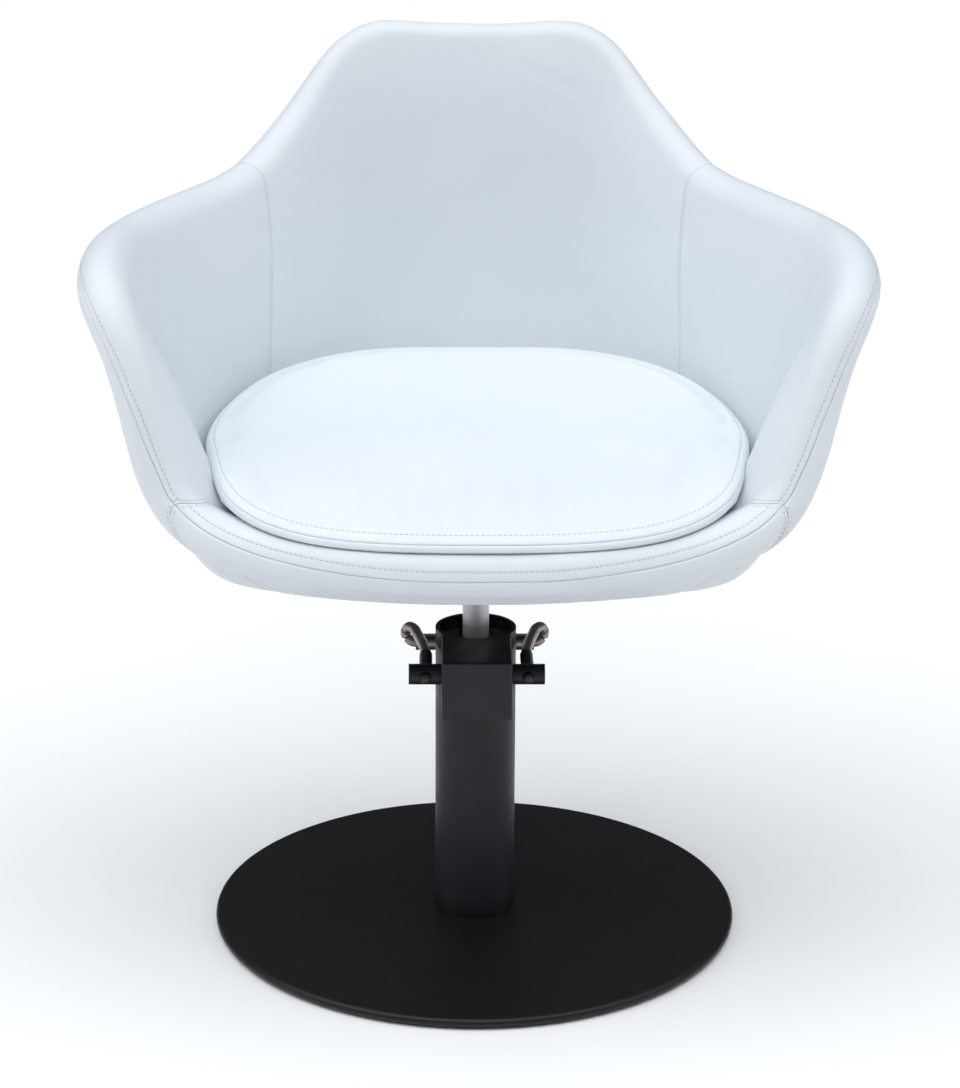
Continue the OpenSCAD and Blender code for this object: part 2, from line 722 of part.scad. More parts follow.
// ---------- tub ----------
// places shared by every layer, so that nested layers stay parallel
front_half = front_steps / 2;
arm_places = steps(seam_back, seam_front, arm_steps);
all_round = concat(
    [for (s = steps(-1, -seam_front, front_half)) if (s < -seam_front - 0.001) s],
    [for (i = [arm_steps:-1:1]) -arm_places[i]],
    [for (s = steps(-seam_back, seam_back, back_steps)) if (s < seam_back - 0.001) s],
    [for (i = [0:arm_steps - 1]) arm_places[i]],
    [for (s = steps(seam_front, 1, front_half)) if (s < 0.999) s]);
// a panel's places, drawn in a little at its two ends
function trimmed(P) = let (last = len(P) - 1)
    [for (i = [0:last]) P[i] + (i == 0 ? panel_gap : i == last ? -panel_gap : 0)];
function negated(P) = [for (i = [len(P) - 1:-1:0]) -P[i]];
back_panel = trimmed(steps(-seam_back, seam_back, back_steps));
right_panel = trimmed(arm_places);
front_panel = trimmed(concat(
    steps(seam_front, 1, front_half),
    [for (s = steps(1, 2 - seam_front, front_half)) if (s > 1.001) s]));
outer_places = trimmed(concat(
    negated(arm_places),
    [for (s = steps(-seam_back, seam_back, back_steps)) if (abs(s) < seam_back - 0.001) s],
    arm_places));
wall_heights = [0, 0.04, 0.08, 0.13, 0.19, 0.27, 0.37, 0.5, 0.66, 0.83, 1];

module tub_shell() {
    heights = [for (i = [10:-1:0]) 3 - min(wall_heights[i], 0.998)];
    shell_in = cover_gap + shell_t;
    color("#d9d7d0") {
        slab(sheet(all_round, heights, cover_gap), sheet(all_round, heights, shell_in), true);
        difference() {
            pan_slice(shell_floor_z + 0.05, shell_floor_top - 0.05, -0.5);
            at_plate_bolts() translate([0, 0, pan_z]) cylinder(h = 20, r = 5, $fn = fn_small);
        }
    }
}

// foam between the shell and the cover, over a panel's places
module foam_part(places) {
    over = [0.2, 0.4, 0.6, 0.8, 0.93];
    shell_face = cover_gap + shell_t + foam_gap;
    A = sheet(places, concat(wall_heights, [for (q = over) 1 + q]), cover_gap);
    B = [for (s = places) let (R = rows(s), lo = skin(R, 2, shell_face), hi = skin(R, 2, cover_gap + 2))
        concat([for (t = wall_heights) skin(R, 3 - t, shell_face)], [for (q = over) lerp(lo, hi, q)])];
    slab(A, B, crossed = true);
}
module seat_foam() {
    color("#e6d9a8") pan_slice(board_top + 1.6, deck_z - cover_gap, foam_gap);
}
module front_foam() {
    color("#e6d9a8") foam_part(front_panel);
}
module back_foam() {
    color("#e6d9a8") foam_part(back_panel);
}
module arm_foam_left() {
    color("#e6d9a8") foam_part(negated(right_panel));
}
module arm_foam_right() {
    color("#e6d9a8") foam_part(right_panel);
}

// how far over the rim roll the seam between the inner and the outer panels lies
function seam_height(s) = let (a = fold(s))
    a < 0.68 ? lerp(1.8, 1.45, smooth((a - 0.5) / 0.18)) : lerp(1.45, 1.6, smooth((a - 0.68) / 0.16));

// panel from height h0 of the inner wall over the rim to the seam
module inner_panel(places, h0) {
    function heights(s) = concat(
        [for (t = wall_heights) max(t, h0)],
        [for (q = [0.2, 0.4, 0.6, 0.8, 1]) lerp(1, seam_height(s) - seam_cut, q)]);
    slab([for (s = places) let (R = rows(s)) [for (h = heights(s)) skin(R, h, 0)]],
         [for (s = places) let (R = rows(s)) [for (h = heights(s)) skin(R, h, cover_t)]]);
}
// panel from the seam down the outer wall to the pan
module outer_panel(places) {
    function heights(s) = concat(
        [for (q = [0, 1 / 3, 2 / 3]) lerp(seam_height(s) + seam_cut, 2, q)],
        [for (i = [10:-1:0]) 3 - max(wall_heights[i], seam_cut)]);
    slab([for (s = places) let (R = rows(s)) [for (h = heights(s)) skin(R, h, 0)]],
         [for (s = places) let (R = rows(s)) [for (h = heights(s)) skin(R, h, cover_t)]]);
}

module seat_deck_cover() {
    color("#e9edf2") {
        pan_slice(deck_z - cover_t, deck_z, -0.3);
        inner_panel(front_panel, 0);
    }
}
module inner_back_cover() {
    color("#e9edf2") inner_panel(back_panel, 0.016);
}
module inner_arm_cover_left() {
    color("#eef1f5") inner_panel(negated(right_panel), 0.016);
}
module inner_arm_cover_right() {
    color("#eef1f5") inner_panel(right_panel, 0.016);
}
module outer_cover() {
    color("#dfe4ea") outer_panel(outer_places);
}
module front_border() {
    color("#e9edf2") outer_panel(front_panel);
}

// ---------- cushion ----------
function cushion_edge(s, over) = let (a = fold(s))
    skin(rows(s), column(CUSHION, 1, false, a) * over, -cushion_clear);
function cushion_rise(s) = column(CUSHION, 2, false, fold(s));
module seat_cushion() {
    places = all_round;
    wall_steps = [0.02, 0.15, 0.3, 0.45, 0.6, 0.75, 0.9, 1];
    low = deck_z + cushion_clear;
    edge = [for (s = places) cushion_edge(s, 1)];
    top_edge = [for (i = [0:len(places) - 1]) edge[i] + [0, 0, cushion_rise(places[i])]];
    function crowned(k) = [for (p = top_edge)
        [p[0] * k, lerp(deck_centre_y, p[1], k), lerp(cushion_crown_z, p[2], k * k)]];
    color("#f1f4f8") ring_stack(
        [0, deck_centre_y, low],
        concat(
            [[for (s = places) let (p = root(s)) [p[0] * 0.5, lerp(deck_centre_y, p[1], 0.5), low]]],
            [for (k = wall_steps) [for (s = places) cushion_edge(s, k)]],
            [top_edge], [for (k = [0.94, 0.8, 0.6, 0.35]) crowned(k)]),
        [0, deck_centre_y, cushion_crown_z]);
}

floor_pad();
base_disc();
base_screws();
column_foot_plug();
column_tube();
cylinder_foot();
cylinder_foot_seal();
hydraulic_cylinder();
transfer_pipe();
column_cap();
rod_guide_bush();
rod_wiper_seal();
pump_head();
shaft_bushes();
shaft_seals();
pump_bore_plug();
check_balls();
plunger_spring();
pump_plunger();
release_pin();
release_spring();
cross_shaft();
pump_cam();
cam_pin();
lever_rod_left();
lever_rod_right();
rod_sleeves();
rod_retaining_screws();
lever_crossbar();
pedal_arm();
pedal_plate();
pedal_rubber();
pedal_screws();
piston_head();
piston_seal();
thrust_washer();
piston_rod();
rod_retaining_ring();
seat_hub();
hub_set_screws();
plate_ribs();
seat_plate();
plate_bolts();
plate_washers();
t_nuts();
base_board();
tub_shell();
seat_foam();
front_foam();
back_foam();
arm_foam_left();
arm_foam_right();
seat_deck_cover();
inner_back_cover();
inner_arm_cover_left();
inner_arm_cover_right();
outer_cover();
front_border();
dust_cover();
seat_cushion();
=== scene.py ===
"""Looks of a hydraulic styling chair: padded tub, loose cushion, pump base, studio and camera."""

import json
import math

import bpy
import numpy as np
from mathutils import Matrix, Vector
from mathutils.kdtree import KDTree


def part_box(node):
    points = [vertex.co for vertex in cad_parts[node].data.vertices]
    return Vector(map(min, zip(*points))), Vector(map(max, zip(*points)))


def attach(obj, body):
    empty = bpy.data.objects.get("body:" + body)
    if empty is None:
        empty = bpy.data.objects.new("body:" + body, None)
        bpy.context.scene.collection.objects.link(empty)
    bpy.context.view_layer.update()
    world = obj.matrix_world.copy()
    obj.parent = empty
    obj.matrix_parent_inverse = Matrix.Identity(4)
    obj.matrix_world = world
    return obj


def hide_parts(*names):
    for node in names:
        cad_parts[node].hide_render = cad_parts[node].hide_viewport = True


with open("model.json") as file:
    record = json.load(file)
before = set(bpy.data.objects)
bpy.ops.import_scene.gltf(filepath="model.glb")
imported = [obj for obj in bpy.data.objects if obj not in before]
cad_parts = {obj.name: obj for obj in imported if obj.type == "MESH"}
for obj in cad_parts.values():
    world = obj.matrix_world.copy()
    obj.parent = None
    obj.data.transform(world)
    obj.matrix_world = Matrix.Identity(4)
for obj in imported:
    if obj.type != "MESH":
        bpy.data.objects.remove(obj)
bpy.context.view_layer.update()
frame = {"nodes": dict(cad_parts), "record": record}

MM = 0.001

# ---------- form of the tub, in mm, as in the CAD ----------
# place, rim x y z, rim radius, root x y, lower handle, upper handle; back centre to front centre
STATIONS = np.array(
    [
        [0.000, 0, 257, 807, 15, 0, 150, 70, 150],
        [0.050, 55, 256, 808, 15, 40, 150, 70, 150],
        [0.091, 100, 252, 809, 16, 74, 147, 70, 150],
        [0.120, 127, 246, 791, 17, 97, 142, 70, 150],
        [0.147, 144, 234, 767, 18, 117, 134, 70, 140],
        [0.202, 175, 206, 725, 20, 150, 113, 70, 130],
        [0.277, 220, 150, 682, 22, 184, 75, 70, 110],
        [0.355, 266, 80, 671, 23, 206, 25, 70, 100],
        [0.436, 308, 0, 664, 24, 216, -25, 72, 100],
        [0.511, 325, -80, 661, 24, 218, -68, 68, 95],
        [0.556, 325, -128, 650, 23, 216, -92, 58, 85],
        [0.591, 316, -155, 632, 21, 214, -106, 50, 70],
        [0.625, 302, -168, 598, 20, 214, -117, 44, 60],
        [0.665, 290, -174, 554, 20, 212, -128, 34, 40],
        [0.708, 279, -175, 508, 20, 208, -140, 28, 30],
        [0.748, 262, -180, 470, 21, 196, -151, 24, 24],
        [0.782, 236, -191, 450, 22, 180, -161, 22, 20],
        [0.827, 192, -209, 439, 22, 154, -173, 21, 18],
        [0.900, 110, -232, 434, 23, 95, -190, 20, 15],
        [1.000, 0, -241, 432, 23, 0, -197, 20, 15],
    ]
)
# place, height of the cushion's lower edge on the tub wall, thickness of its edge
CUSHION = np.array(
    [
        [0.00, 0.300, 34],
        [0.14, 0.330, 34],
        [0.22, 0.380, 34],
        [0.29, 0.415, 32],
        [0.38, 0.405, 26],
        [0.48, 0.375, 21],
        [0.54, 0.375, 19],
        [0.58, 0.355, 18],
        [0.61, 0.360, 18],
        [0.64, 0.405, 18],
        [0.67, 0.475, 18],
        [0.70, 0.565, 18],
        [0.73, 0.680, 18],
        [0.76, 0.870, 18],
        [0.79, 1.100, 17],
        [0.82, 1.260, 16],
        [0.87, 1.340, 15],
        [0.93, 1.330, 15],
        [1.00, 1.300, 15],
    ]
)
# place, how far over the rim the seam between the inner and outer panels lies
RIM_SEAM = np.array(
    [
        [0.00, 1.80],
        [0.50, 1.80],
        [0.56, 1.76],
        [0.60, 1.68],
        [0.64, 1.50],
        [0.68, 1.30],
        [0.72, 1.23],
        [0.76, 1.29],
        [0.80, 1.44],
        [0.86, 1.57],
        [0.93, 1.63],
        [1.00, 1.63],
    ]
)
DECK_Z = 452.0
MID_Z = 420.0
ROOT_HALF = 32.0
CENTRE_Y = -20.0
SEAM_BACK = 0.27
SEAM_FRONT = 0.765
SEAM_TRIM = 0.0001
HEIGHT_TRIM = 0.0008
# how far along the wall its kinks are smoothed, and the most that a point moves
CALM_REACH = 0.06
CALM_LIMIT = 2.2
# one cut of leatherette: its thickness, the rounding into a seam, the channel under a row of
# stitches, and how far from a seam it stands fully proud
SHEET = 1.3
SEAM_ROUND = 1.9
CHANNEL_DEPTH = 0.36
CHANNEL_WIDTH = 0.9
PUFF_REACH = 22.0
WALL_FOOT = 0.016
OUTER_FOOT = 2.996
UP = np.array([0.0, 0.0, 1.0])


def smooth(t):
    t = np.clip(t, 0.0, 1.0)
    return t * t * (3.0 - 2.0 * t)


def unit(v):
    return v / np.maximum(np.linalg.norm(v, axis=-1, keepdims=True), 1e-12)


def dot(a, b):
    return np.sum(a * b, axis=-1, keepdims=True)


def column(table, index, places, odd=False):
    """One column of a table at folded places, by a smooth curve mirrored at both ends."""
    sign = -1.0 if odd else 1.0
    s, v = table[:, 0], table[:, index]
    wide_s = np.concatenate([[-s[1]], s, [2.0 - s[-2]]])
    wide_v = np.concatenate([[sign * v[1]], v, [sign * v[-2]]])
    span = np.diff(wide_s)
    chord = np.diff(wide_v) / span
    slope = (chord[:-1] * span[1:] + chord[1:] * span[:-1]) / (span[1:] + span[:-1])
    row = np.clip(np.searchsorted(s, places, side="right") - 1, 0, len(s) - 2)
    width = s[row + 1] - s[row]
    u = (places - s[row]) / width
    start = (2 * u**3 - 3 * u**2 + 1) * v[row] + (u**3 - 2 * u**2 + u) * width * slope[row]
    end = (3 * u**2 - 2 * u**3) * v[row + 1] + (u**3 - u**2) * width * slope[row + 1]
    return start + end


def fold(places):
    a = np.abs(places)
    return np.where(a > 1.0, 2.0 - a, a)


def side_of(places):
    return np.where((places < -1.0) | ((places >= 0.0) & (places <= 1.0)), 1.0, -1.0)


def rim(places):
    a = fold(places)
    x = side_of(places) * column(STATIONS, 1, a, odd=True)
    return np.stack([x, column(STATIONS, 2, a), column(STATIONS, 3, a)], axis=-1)


def root(places):
    a = fold(places)
    x = side_of(places) * column(STATIONS, 5, a, odd=True)
    return np.stack([x, column(STATIONS, 6, a), np.full_like(a, MID_Z)], axis=-1)


def section(places):
    """The wall's four curve points, the rim's direction and the rim radius at each place."""
    step = 0.003
    a = fold(places)
    p0, p3 = root(places), rim(places)
    along = unit(root(places + step) - root(places - step))
    outward = np.stack([-along[:, 1], along[:, 0], np.zeros(len(a))], axis=-1)
    tau = unit(rim(places + step) - rim(places - step))
    v = p3 - p0
    upright = (0.1 + 0.9 * smooth((a - 0.25) / 0.3))[:, None]
    rise = unit(v - upright * dot(v, tau) * tau)
    flip = np.where(dot(outward, v) < 0.0, -1.0, 1.0)
    p1 = p0 + outward * flip * column(STATIONS, 7, a)[:, None]
    p2 = p3 - rise * column(STATIONS, 8, a)[:, None]
    return (p0, p1, p2, p3), tau, column(STATIONS, 4, a)


def curve(points, t):
    t = t[:, None]
    r = 1.0 - t
    p0, p1, p2, p3 = points
    return r**3 * p0 + 3 * r * r * t * p1 + 3 * r * t * t * p2 + t**3 * p3


def curve_dir(points, t):
    t = t[:, None]
    r = 1.0 - t
    p0, p1, p2, p3 = points
    return r * r * (p1 - p0) + 2 * r * t * (p2 - p1) + t * t * (p3 - p2)


def pulled_skin(places, heights, depth=0.0):
    """Points of the padded surface as the tables draw it, set in by depth.

    Height 0 to 1 climbs the inner wall, 1 to 2 goes over the rim and 2 to 3 comes down outside.
    """
    s, h, d = np.broadcast_arrays(places, heights, depth)
    shape = s.shape
    s, h, d = (np.array(x, float).ravel() for x in (s, h, d))
    t = np.where(h > 2.0, 3.0 - h, np.minimum(h, 1.0))
    points, tau, radius = section(s)
    across = curve(section(s + 0.004)[0], t) - curve(section(s - 0.004)[0], t)
    climb = curve_dir(points, t)
    normal = unit(np.cross(across, climb))
    lifted = unit(UP + (normal - UP) * smooth(t / 0.5)[:, None])
    normal = np.where((h <= 1.0)[:, None], lifted, normal)
    over = np.cross(tau, normal)
    over = over * np.where(dot(over, climb) < 0.0, -1.0, 1.0)
    angle = (np.clip(h - 1.0, 0.0, 1.0) * math.pi)[:, None]
    half = ROOT_HALF + (radius - ROOT_HALF) * smooth(t / 0.55)
    found = curve(points, t) + (normal * np.cos(angle) + over * np.sin(angle)) * (half - d)[:, None]
    return found.reshape(*shape, 3)


def calm_kernel():
    """Offsets along the wall and weights that smooth short kinks and keep long curves."""
    offsets = np.arange(-5, 6) / 5.0
    narrow = np.exp(-0.5 * (offsets / 0.36) ** 2)
    wide = np.exp(-0.5 * (offsets / 0.51) ** 2)
    return CALM_REACH * offsets, 2.0 * narrow / narrow.sum() - wide / wide.sum()


def skin(places, heights, depth=0.0):
    """The padded surface with the short kinks along the wall smoothed out."""
    offsets, weights = calm_kernel()
    raw = pulled_skin(places, heights, depth)
    soft = sum(w * pulled_skin(places + k, heights, depth) for k, w in zip(offsets, weights))
    shift = soft - raw
    length = np.maximum(np.linalg.norm(shift, axis=-1, keepdims=True), 1e-9)
    return raw + shift * (CALM_LIMIT * np.tanh(length / CALM_LIMIT) / length)


def seam_height(places):
    return column(RIM_SEAM, 1, fold(places))


def sewn_places(places, heights):
    """Places with the corner seams drawn back towards the arms where they go over the rim."""
    near_corner = np.exp(-(((fold(places) - SEAM_FRONT) / 0.06) ** 2))
    back = 0.017 * smooth((heights - 1.02) / 0.28)
    forward = 0.045 * smooth((heights - 1.3) / 0.9)
    return places - side_of(places) * (back - forward) * near_corner


# ---------- meshes ----------
def run_along(points, axis):
    """Distance run along one axis of a grid of points."""
    steps = np.linalg.norm(np.diff(points, axis=axis), axis=-1)
    total = np.cumsum(steps, axis=axis)
    first = np.zeros_like(np.take(total, [0], axis=axis))
    return np.concatenate([first, total], axis=axis)


def near_lines(stitch=None):
    """Distances from a seam at which a panel has grid lines, closer under a row of stitches."""
    shoulder = [0.0, 0.25, 0.6, 1.1, 1.8, 2.8, 4.2]
    if stitch is None:
        return np.array(shoulder)
    row = [stitch + k for k in (-1.2, -0.6, 0.0, 0.6, 1.2, 2.2)]
    return np.array([k for k in shoulder if k < row[0] - 0.3] + row)


def spacing(lengths, pitch, first, last):
    """Distances along lines of these lengths: fixed near both ends, even between them."""
    lengths = np.atleast_1d(lengths)[:, None]
    inner = lengths - first[-1] - last[-1]
    count = max(2, int(round(float(np.median(inner)) / pitch)))
    share = np.arange(1, count) / count
    head = np.tile(first, (len(lengths), 1))
    return np.hstack([head, first[-1] + inner * share, lengths - last[::-1]])


def grid_quads(m, n, wrap=False):
    i = np.arange(m if wrap else m - 1)[:, None]
    j = np.arange(n - 1)[None, :]
    a = i * n + j
    b = ((i + 1) % m) * n + j
    return np.stack([a, a + 1, b + 1, b], axis=-1).reshape(-1, 4)


def signed_volume(points, quads):
    p = points[quads]
    first = np.sum(p[:, 0] * np.cross(p[:, 1], p[:, 2]))
    second = np.sum(p[:, 0] * np.cross(p[:, 2], p[:, 3]))
    return first + second


def new_object(name, points, faces, material):
    """A smooth-shaded mesh from points in mm."""
    mesh = bpy.data.meshes.new(name)
    mesh.from_pydata((points * MM).tolist(), [], [list(f) for f in faces])
    mesh.polygons.foreach_set("use_smooth", [True] * len(mesh.polygons))
    mesh.materials.append(material)
    obj = bpy.data.objects.new(name, mesh)
    bpy.context.scene.collection.objects.link(obj)
    return obj


def closed_sheet(name, outer, inner, material):
    """Closed skin between two grids of points of the same size."""
    m, n = outer.shape[:2]
    size = m * n
    front = grid_quads(m, n)
    back = front[:, ::-1] + size
    index = np.arange(size).reshape(m, n)
    loop = np.concatenate([index[0], index[1:, -1], index[-1, -2::-1], index[-2:0:-1, 0]])
    after = np.roll(loop, -1)
    strip = np.stack([after, loop, loop + size, after + size], axis=-1)
    points = np.concatenate([outer.reshape(-1, 3), inner.reshape(-1, 3)])
    quads = np.concatenate([front, back, strip])
    if signed_volume(points, quads) < 0.0:
        quads = quads[:, ::-1]
    obj = new_object(name, points, quads.tolist(), material)
    obj.data.set_sharp_from_angle(angle=math.radians(62))
    return obj


def waves(points, seed, size, height):
    """Smooth seeded unevenness: sine waves in random directions."""
    rng = np.random.default_rng(seed)
    total = np.zeros(points.shape[:-1])
    for _ in range(20):
        direction = unit(rng.normal(size=3))
        length = size * rng.uniform(0.7, 1.7)
        phase = rng.uniform(0.0, 2.0 * math.pi)
        total += np.sin(points @ direction * (2.0 * math.pi / length) + phase)
    return height * total / math.sqrt(10.0)


def fold_lines(points, folds):
    """Depth of shallow creases: each runs between two surface points, with a width and a depth."""
    depth = np.zeros(points.shape[:-1])
    for start, end, width, deep in folds:
        a, b = skin(*start), skin(*end)
        run = b - a
        share = np.clip(((points - a) @ run) / (run @ run), 0.0, 1.0)
        off = np.linalg.norm(points - a - share[..., None] * run, axis=-1)
        taper = np.sqrt(np.sin(math.pi * np.clip(share, 0.02, 0.98)))
        valley = np.exp(-((off / width) ** 2)) - 0.45 * np.exp(-((off / (2.4 * width)) ** 2))
        depth += deep * taper * valley
    return depth


def relief(sides, puff):
    """Depth of a panel: proud between its seams, rounded down into them, sunk under stitches.

    Each side is (distance from it, depth of its seam, distance of its row of stitches).
    """
    nearest = np.min([d for d, _, _ in sides], axis=0)
    groove = np.zeros_like(nearest)
    channel = np.zeros_like(nearest)
    for distance, deep, stitch in sides:
        share = 1.0 - np.clip(distance / SEAM_ROUND, 0.0, 1.0)
        groove = np.maximum(groove, deep * (1.0 - np.sqrt(1.0 - share**2)))
        if stitch is not None:
            channel += CHANNEL_DEPTH * np.exp(-(((distance - stitch) / CHANNEL_WIDTH) ** 2))
    return groove + channel - puff * smooth(nearest / PUFF_REACH)


def grid_normals(grid, inner):
    across = np.gradient(grid, axis=0)
    up = np.gradient(grid, axis=1)
    normal = unit(np.cross(across, up))
    outward = dot(normal, grid - inner)
    return normal * np.where(outward < 0.0, -1.0, 1.0)


class Panel:
    """One cut of leatherette over the padding, as a closed skin that sinks into its seams."""

    def __init__(self, name, ends, low, high, seams, stitches, material, **options):
        pitch = options.get("pitch", 4.5)
        puff = options.get("puff", 0.7)
        start, end = ends
        probe = np.linspace(start, end, 241)
        middle = skin(probe, (low(probe) + high(probe)) / 2.0)
        run = run_along(middle, 0)
        first, last = near_lines(stitches.get("start")), near_lines(stitches.get("end"))
        lines = spacing(run[-1], pitch, first, last)[0]
        self.places = np.interp(lines, run, probe)
        self.near = {"start": first, "end": last}
        self.near["low"] = near_lines(stitches.get("low"))
        self.near["high"] = near_lines(stitches.get("high"))
        heights = self.height_lines(low(self.places), high(self.places), pitch)
        places = sewn_places(self.places[:, None], heights)
        base = skin(places, heights)
        sideways, upward = run_along(base, 0), run_along(base, 1)
        distances = {
            "start": sideways,
            "end": sideways[-1] - sideways,
            "low": upward,
            "high": upward[:, -1:] - upward,
        }
        sides = [(distances[k], seams[k], stitches.get(k)) for k in distances if k in seams]
        depth = relief(sides, puff)
        depth += waves(base, options.get("seed", 1), 90.0, options.get("uneven", 0.25))
        depth += fold_lines(base, options.get("folds", ()))
        self.outer = skin(places, heights, depth)
        self.inner = skin(places, heights, depth + SHEET)
        self.normals = grid_normals(self.outer, self.inner)
        self.object = closed_sheet(name, self.outer, self.inner, material)

    def height_lines(self, low, high, pitch):
        share = np.linspace(0.0, 1.0, 121)
        fine = low[:, None] + (high - low)[:, None] * share
        run = run_along(skin(sewn_places(self.places[:, None], fine), fine), 1)
        wanted = spacing(run[:, -1], pitch, self.near["low"], self.near["high"])
        rows = [np.interp(wanted[i], run[i], fine[i]) for i in range(len(fine))]
        return np.array(rows)

    def row(self, side, stitch, skip=(0, 0)):
        """Points and normals of the grid line under a row of stitches."""
        index = int(np.argmin(np.abs(self.near[side] - stitch)))
        if side == "start":
            points, normals = self.outer[index], self.normals[index]
        elif side == "end":
            points, normals = self.outer[-1 - index], self.normals[-1 - index]
        elif side == "low":
            points, normals = self.outer[:, index], self.normals[:, index]
        else:
            points, normals = self.outer[:, -1 - index], self.normals[:, -1 - index]
        stop = len(points) - skip[1]
        return points[skip[0] : stop], normals[skip[0] : stop]


def stitched(name, rows, material, pitch=4.6, length=3.5, radius=0.42, closed=False):
    """Rows of thread stitches: each is a short capsule whose ends dip into the leatherette."""
    ring_at = np.array([0.0, 0.12, 0.5, 0.88, 1.0])
    ring_size = np.array([0.3, 0.85, 1.0, 0.85, 0.3])
    ring_rise = np.array([-0.75, -0.1, 0.45, -0.1, -0.75])
    sides = 6
    angles = np.arange(sides) * (2.0 * math.pi / sides)
    points, faces = [], []
    ring_quads = [
        (r * sides + k, r * sides + (k + 1) % sides, (r + 1) * sides + (k + 1) % sides, (r + 1) * sides + k)
        for r in range(len(ring_at) - 1)
        for k in range(sides)
    ]
    caps = [tuple(range(sides - 1, -1, -1)), tuple(range(4 * sides, 5 * sides))]
    for line, normals in rows:
        if closed:
            line = np.concatenate([line, line[:1]])
            normals = np.concatenate([normals, normals[:1]])
        run = run_along(line, 0)
        count = int(run[-1] // pitch)
        step = run[-1] / count
        for i in range(count):
            near, far = i * step + (step - length) / 2.0, i * step + (step + length) / 2.0
            a = np.array([np.interp(near, run, line[:, c]) for c in range(3)])
            b = np.array([np.interp(far, run, line[:, c]) for c in range(3)])
            up = unit(np.array([np.interp((near + far) / 2, run, normals[:, c]) for c in range(3)]))
            side = unit(np.cross(b - a, up))
            centres = a + (b - a) * ring_at[:, None] + up * (ring_rise * radius)[:, None]
            offset = up * np.sin(angles)[:, None] + side * np.cos(angles)[:, None]
            rings = centres[:, None] + offset[None] * (ring_size * radius)[:, None, None]
            base = len(points) * sides * 5
            points.append(rings.reshape(-1, 3))
            faces += [tuple(base + v for v in f) for f in ring_quads + caps]
    return new_object(name, np.concatenate(points), faces, material)


# ---------- materials ----------
class Finish:
    """A principled material whose colour, roughness and relief vary by procedural textures."""

    def __init__(self, name, colour, roughness, metallic=0.0):
        self.material = bpy.data.materials.new(name)
        self.material.use_nodes = True
        self.nodes = self.material.node_tree.nodes
        self.links = self.material.node_tree.links
        self.shader = self.nodes["Principled BSDF"]
        self.colour = colour
        self.shader.inputs["Base Color"].default_value = (*colour, 1.0)
        self.shader.inputs["Roughness"].default_value = roughness
        self.shader.inputs["Metallic"].default_value = metallic
        self.place = self.nodes.new("ShaderNodeTexCoord").outputs["Object"]
        self.height = None

    def set(self, socket, value):
        self.shader.inputs[socket].default_value = value

    def stretched(self, scale):
        """Texture place with each axis scaled, for brushing and grain."""
        mapping = self.nodes.new("ShaderNodeMapping")
        mapping.inputs["Scale"].default_value = scale
        self.links.new(self.place, mapping.inputs["Vector"])
        return mapping.outputs["Vector"]

    def axis(self, name):
        """One coordinate of the object's own place, in metres."""
        parts = self.nodes.new("ShaderNodeSeparateXYZ")
        self.links.new(self.place, parts.inputs["Vector"])
        return parts.outputs[name]

    def noise(self, scale, detail=3.0, vector=None):
        node = self.nodes.new("ShaderNodeTexNoise")
        node.inputs["Scale"].default_value = scale
        node.inputs["Detail"].default_value = detail
        self.links.new(vector or self.place, node.inputs["Vector"])
        return node.outputs["Fac"]

    def cells(self, scale, feature="DISTANCE_TO_EDGE"):
        node = self.nodes.new("ShaderNodeTexVoronoi")
        node.feature = feature
        node.inputs["Scale"].default_value = scale
        self.links.new(self.place, node.inputs["Vector"])
        return node.outputs["Distance"]

    def spread(self, source, low, high, start=0.3, end=0.7):
        """The source's values from start to end mapped onto low to high."""
        node = self.nodes.new("ShaderNodeMapRange")
        node.inputs["From Min"].default_value = start
        node.inputs["From Max"].default_value = end
        node.inputs["To Min"].default_value = low
        node.inputs["To Max"].default_value = high
        self.links.new(source, node.inputs["Value"])
        return node.outputs["Result"]

    def vary_colour(self, source, other, start=0.3, end=0.7):
        mix = self.nodes.new("ShaderNodeMix")
        mix.data_type = "RGBA"
        mix.inputs["A"].default_value = (*self.colour, 1.0)
        mix.inputs["B"].default_value = (*other, 1.0)
        self.links.new(self.spread(source, 0.0, 1.0, start, end), mix.inputs["Factor"])
        self.links.new(mix.outputs["Result"], self.shader.inputs["Base Color"])

    def vary_roughness(self, source, low, high):
        self.links.new(self.spread(source, low, high), self.shader.inputs["Roughness"])

    def bump(self, source, distance, strength=0.5):
        node = self.nodes.new("ShaderNodeBump")
        node.inputs["Strength"].default_value = strength
        node.inputs["Distance"].default_value = distance
        self.links.new(source, node.inputs["Height"])
        if self.height is not None:
            self.links.new(self.height, node.inputs["Normal"])
        self.height = node.outputs["Normal"]
        self.links.new(self.height, self.shader.inputs["Normal"])


BRUSH_DEPTH = 0.00003
# height on the base disc over which the paint changes from its low colour, painted shade near the floor, to
# its high colour, in metres
PAINT_SHADE_HEIGHTS = (0.011, 0.03)
# where the black on the front ends of the lever's rods, painted shade inside the cross-shaft, ends, along Y
# in metres
ROD_SHADE_END = (-0.0712, -0.0705)


def leatherette(name, colour, other, roughness=0.42):
    """White leatherette with a fine pebbled grain."""
    f = Finish(name, colour, roughness)
    f.vary_colour(f.noise(7.0, 2.0), other)
    f.vary_roughness(f.noise(38.0, 4.0), roughness - 0.05, roughness + 0.07)
    f.bump(f.cells(850.0), 0.00012, 0.35)
    f.bump(f.noise(160.0, 4.0), 0.0002, 0.25)
    f.set("Specular IOR Level", 0.42)
    return f.material


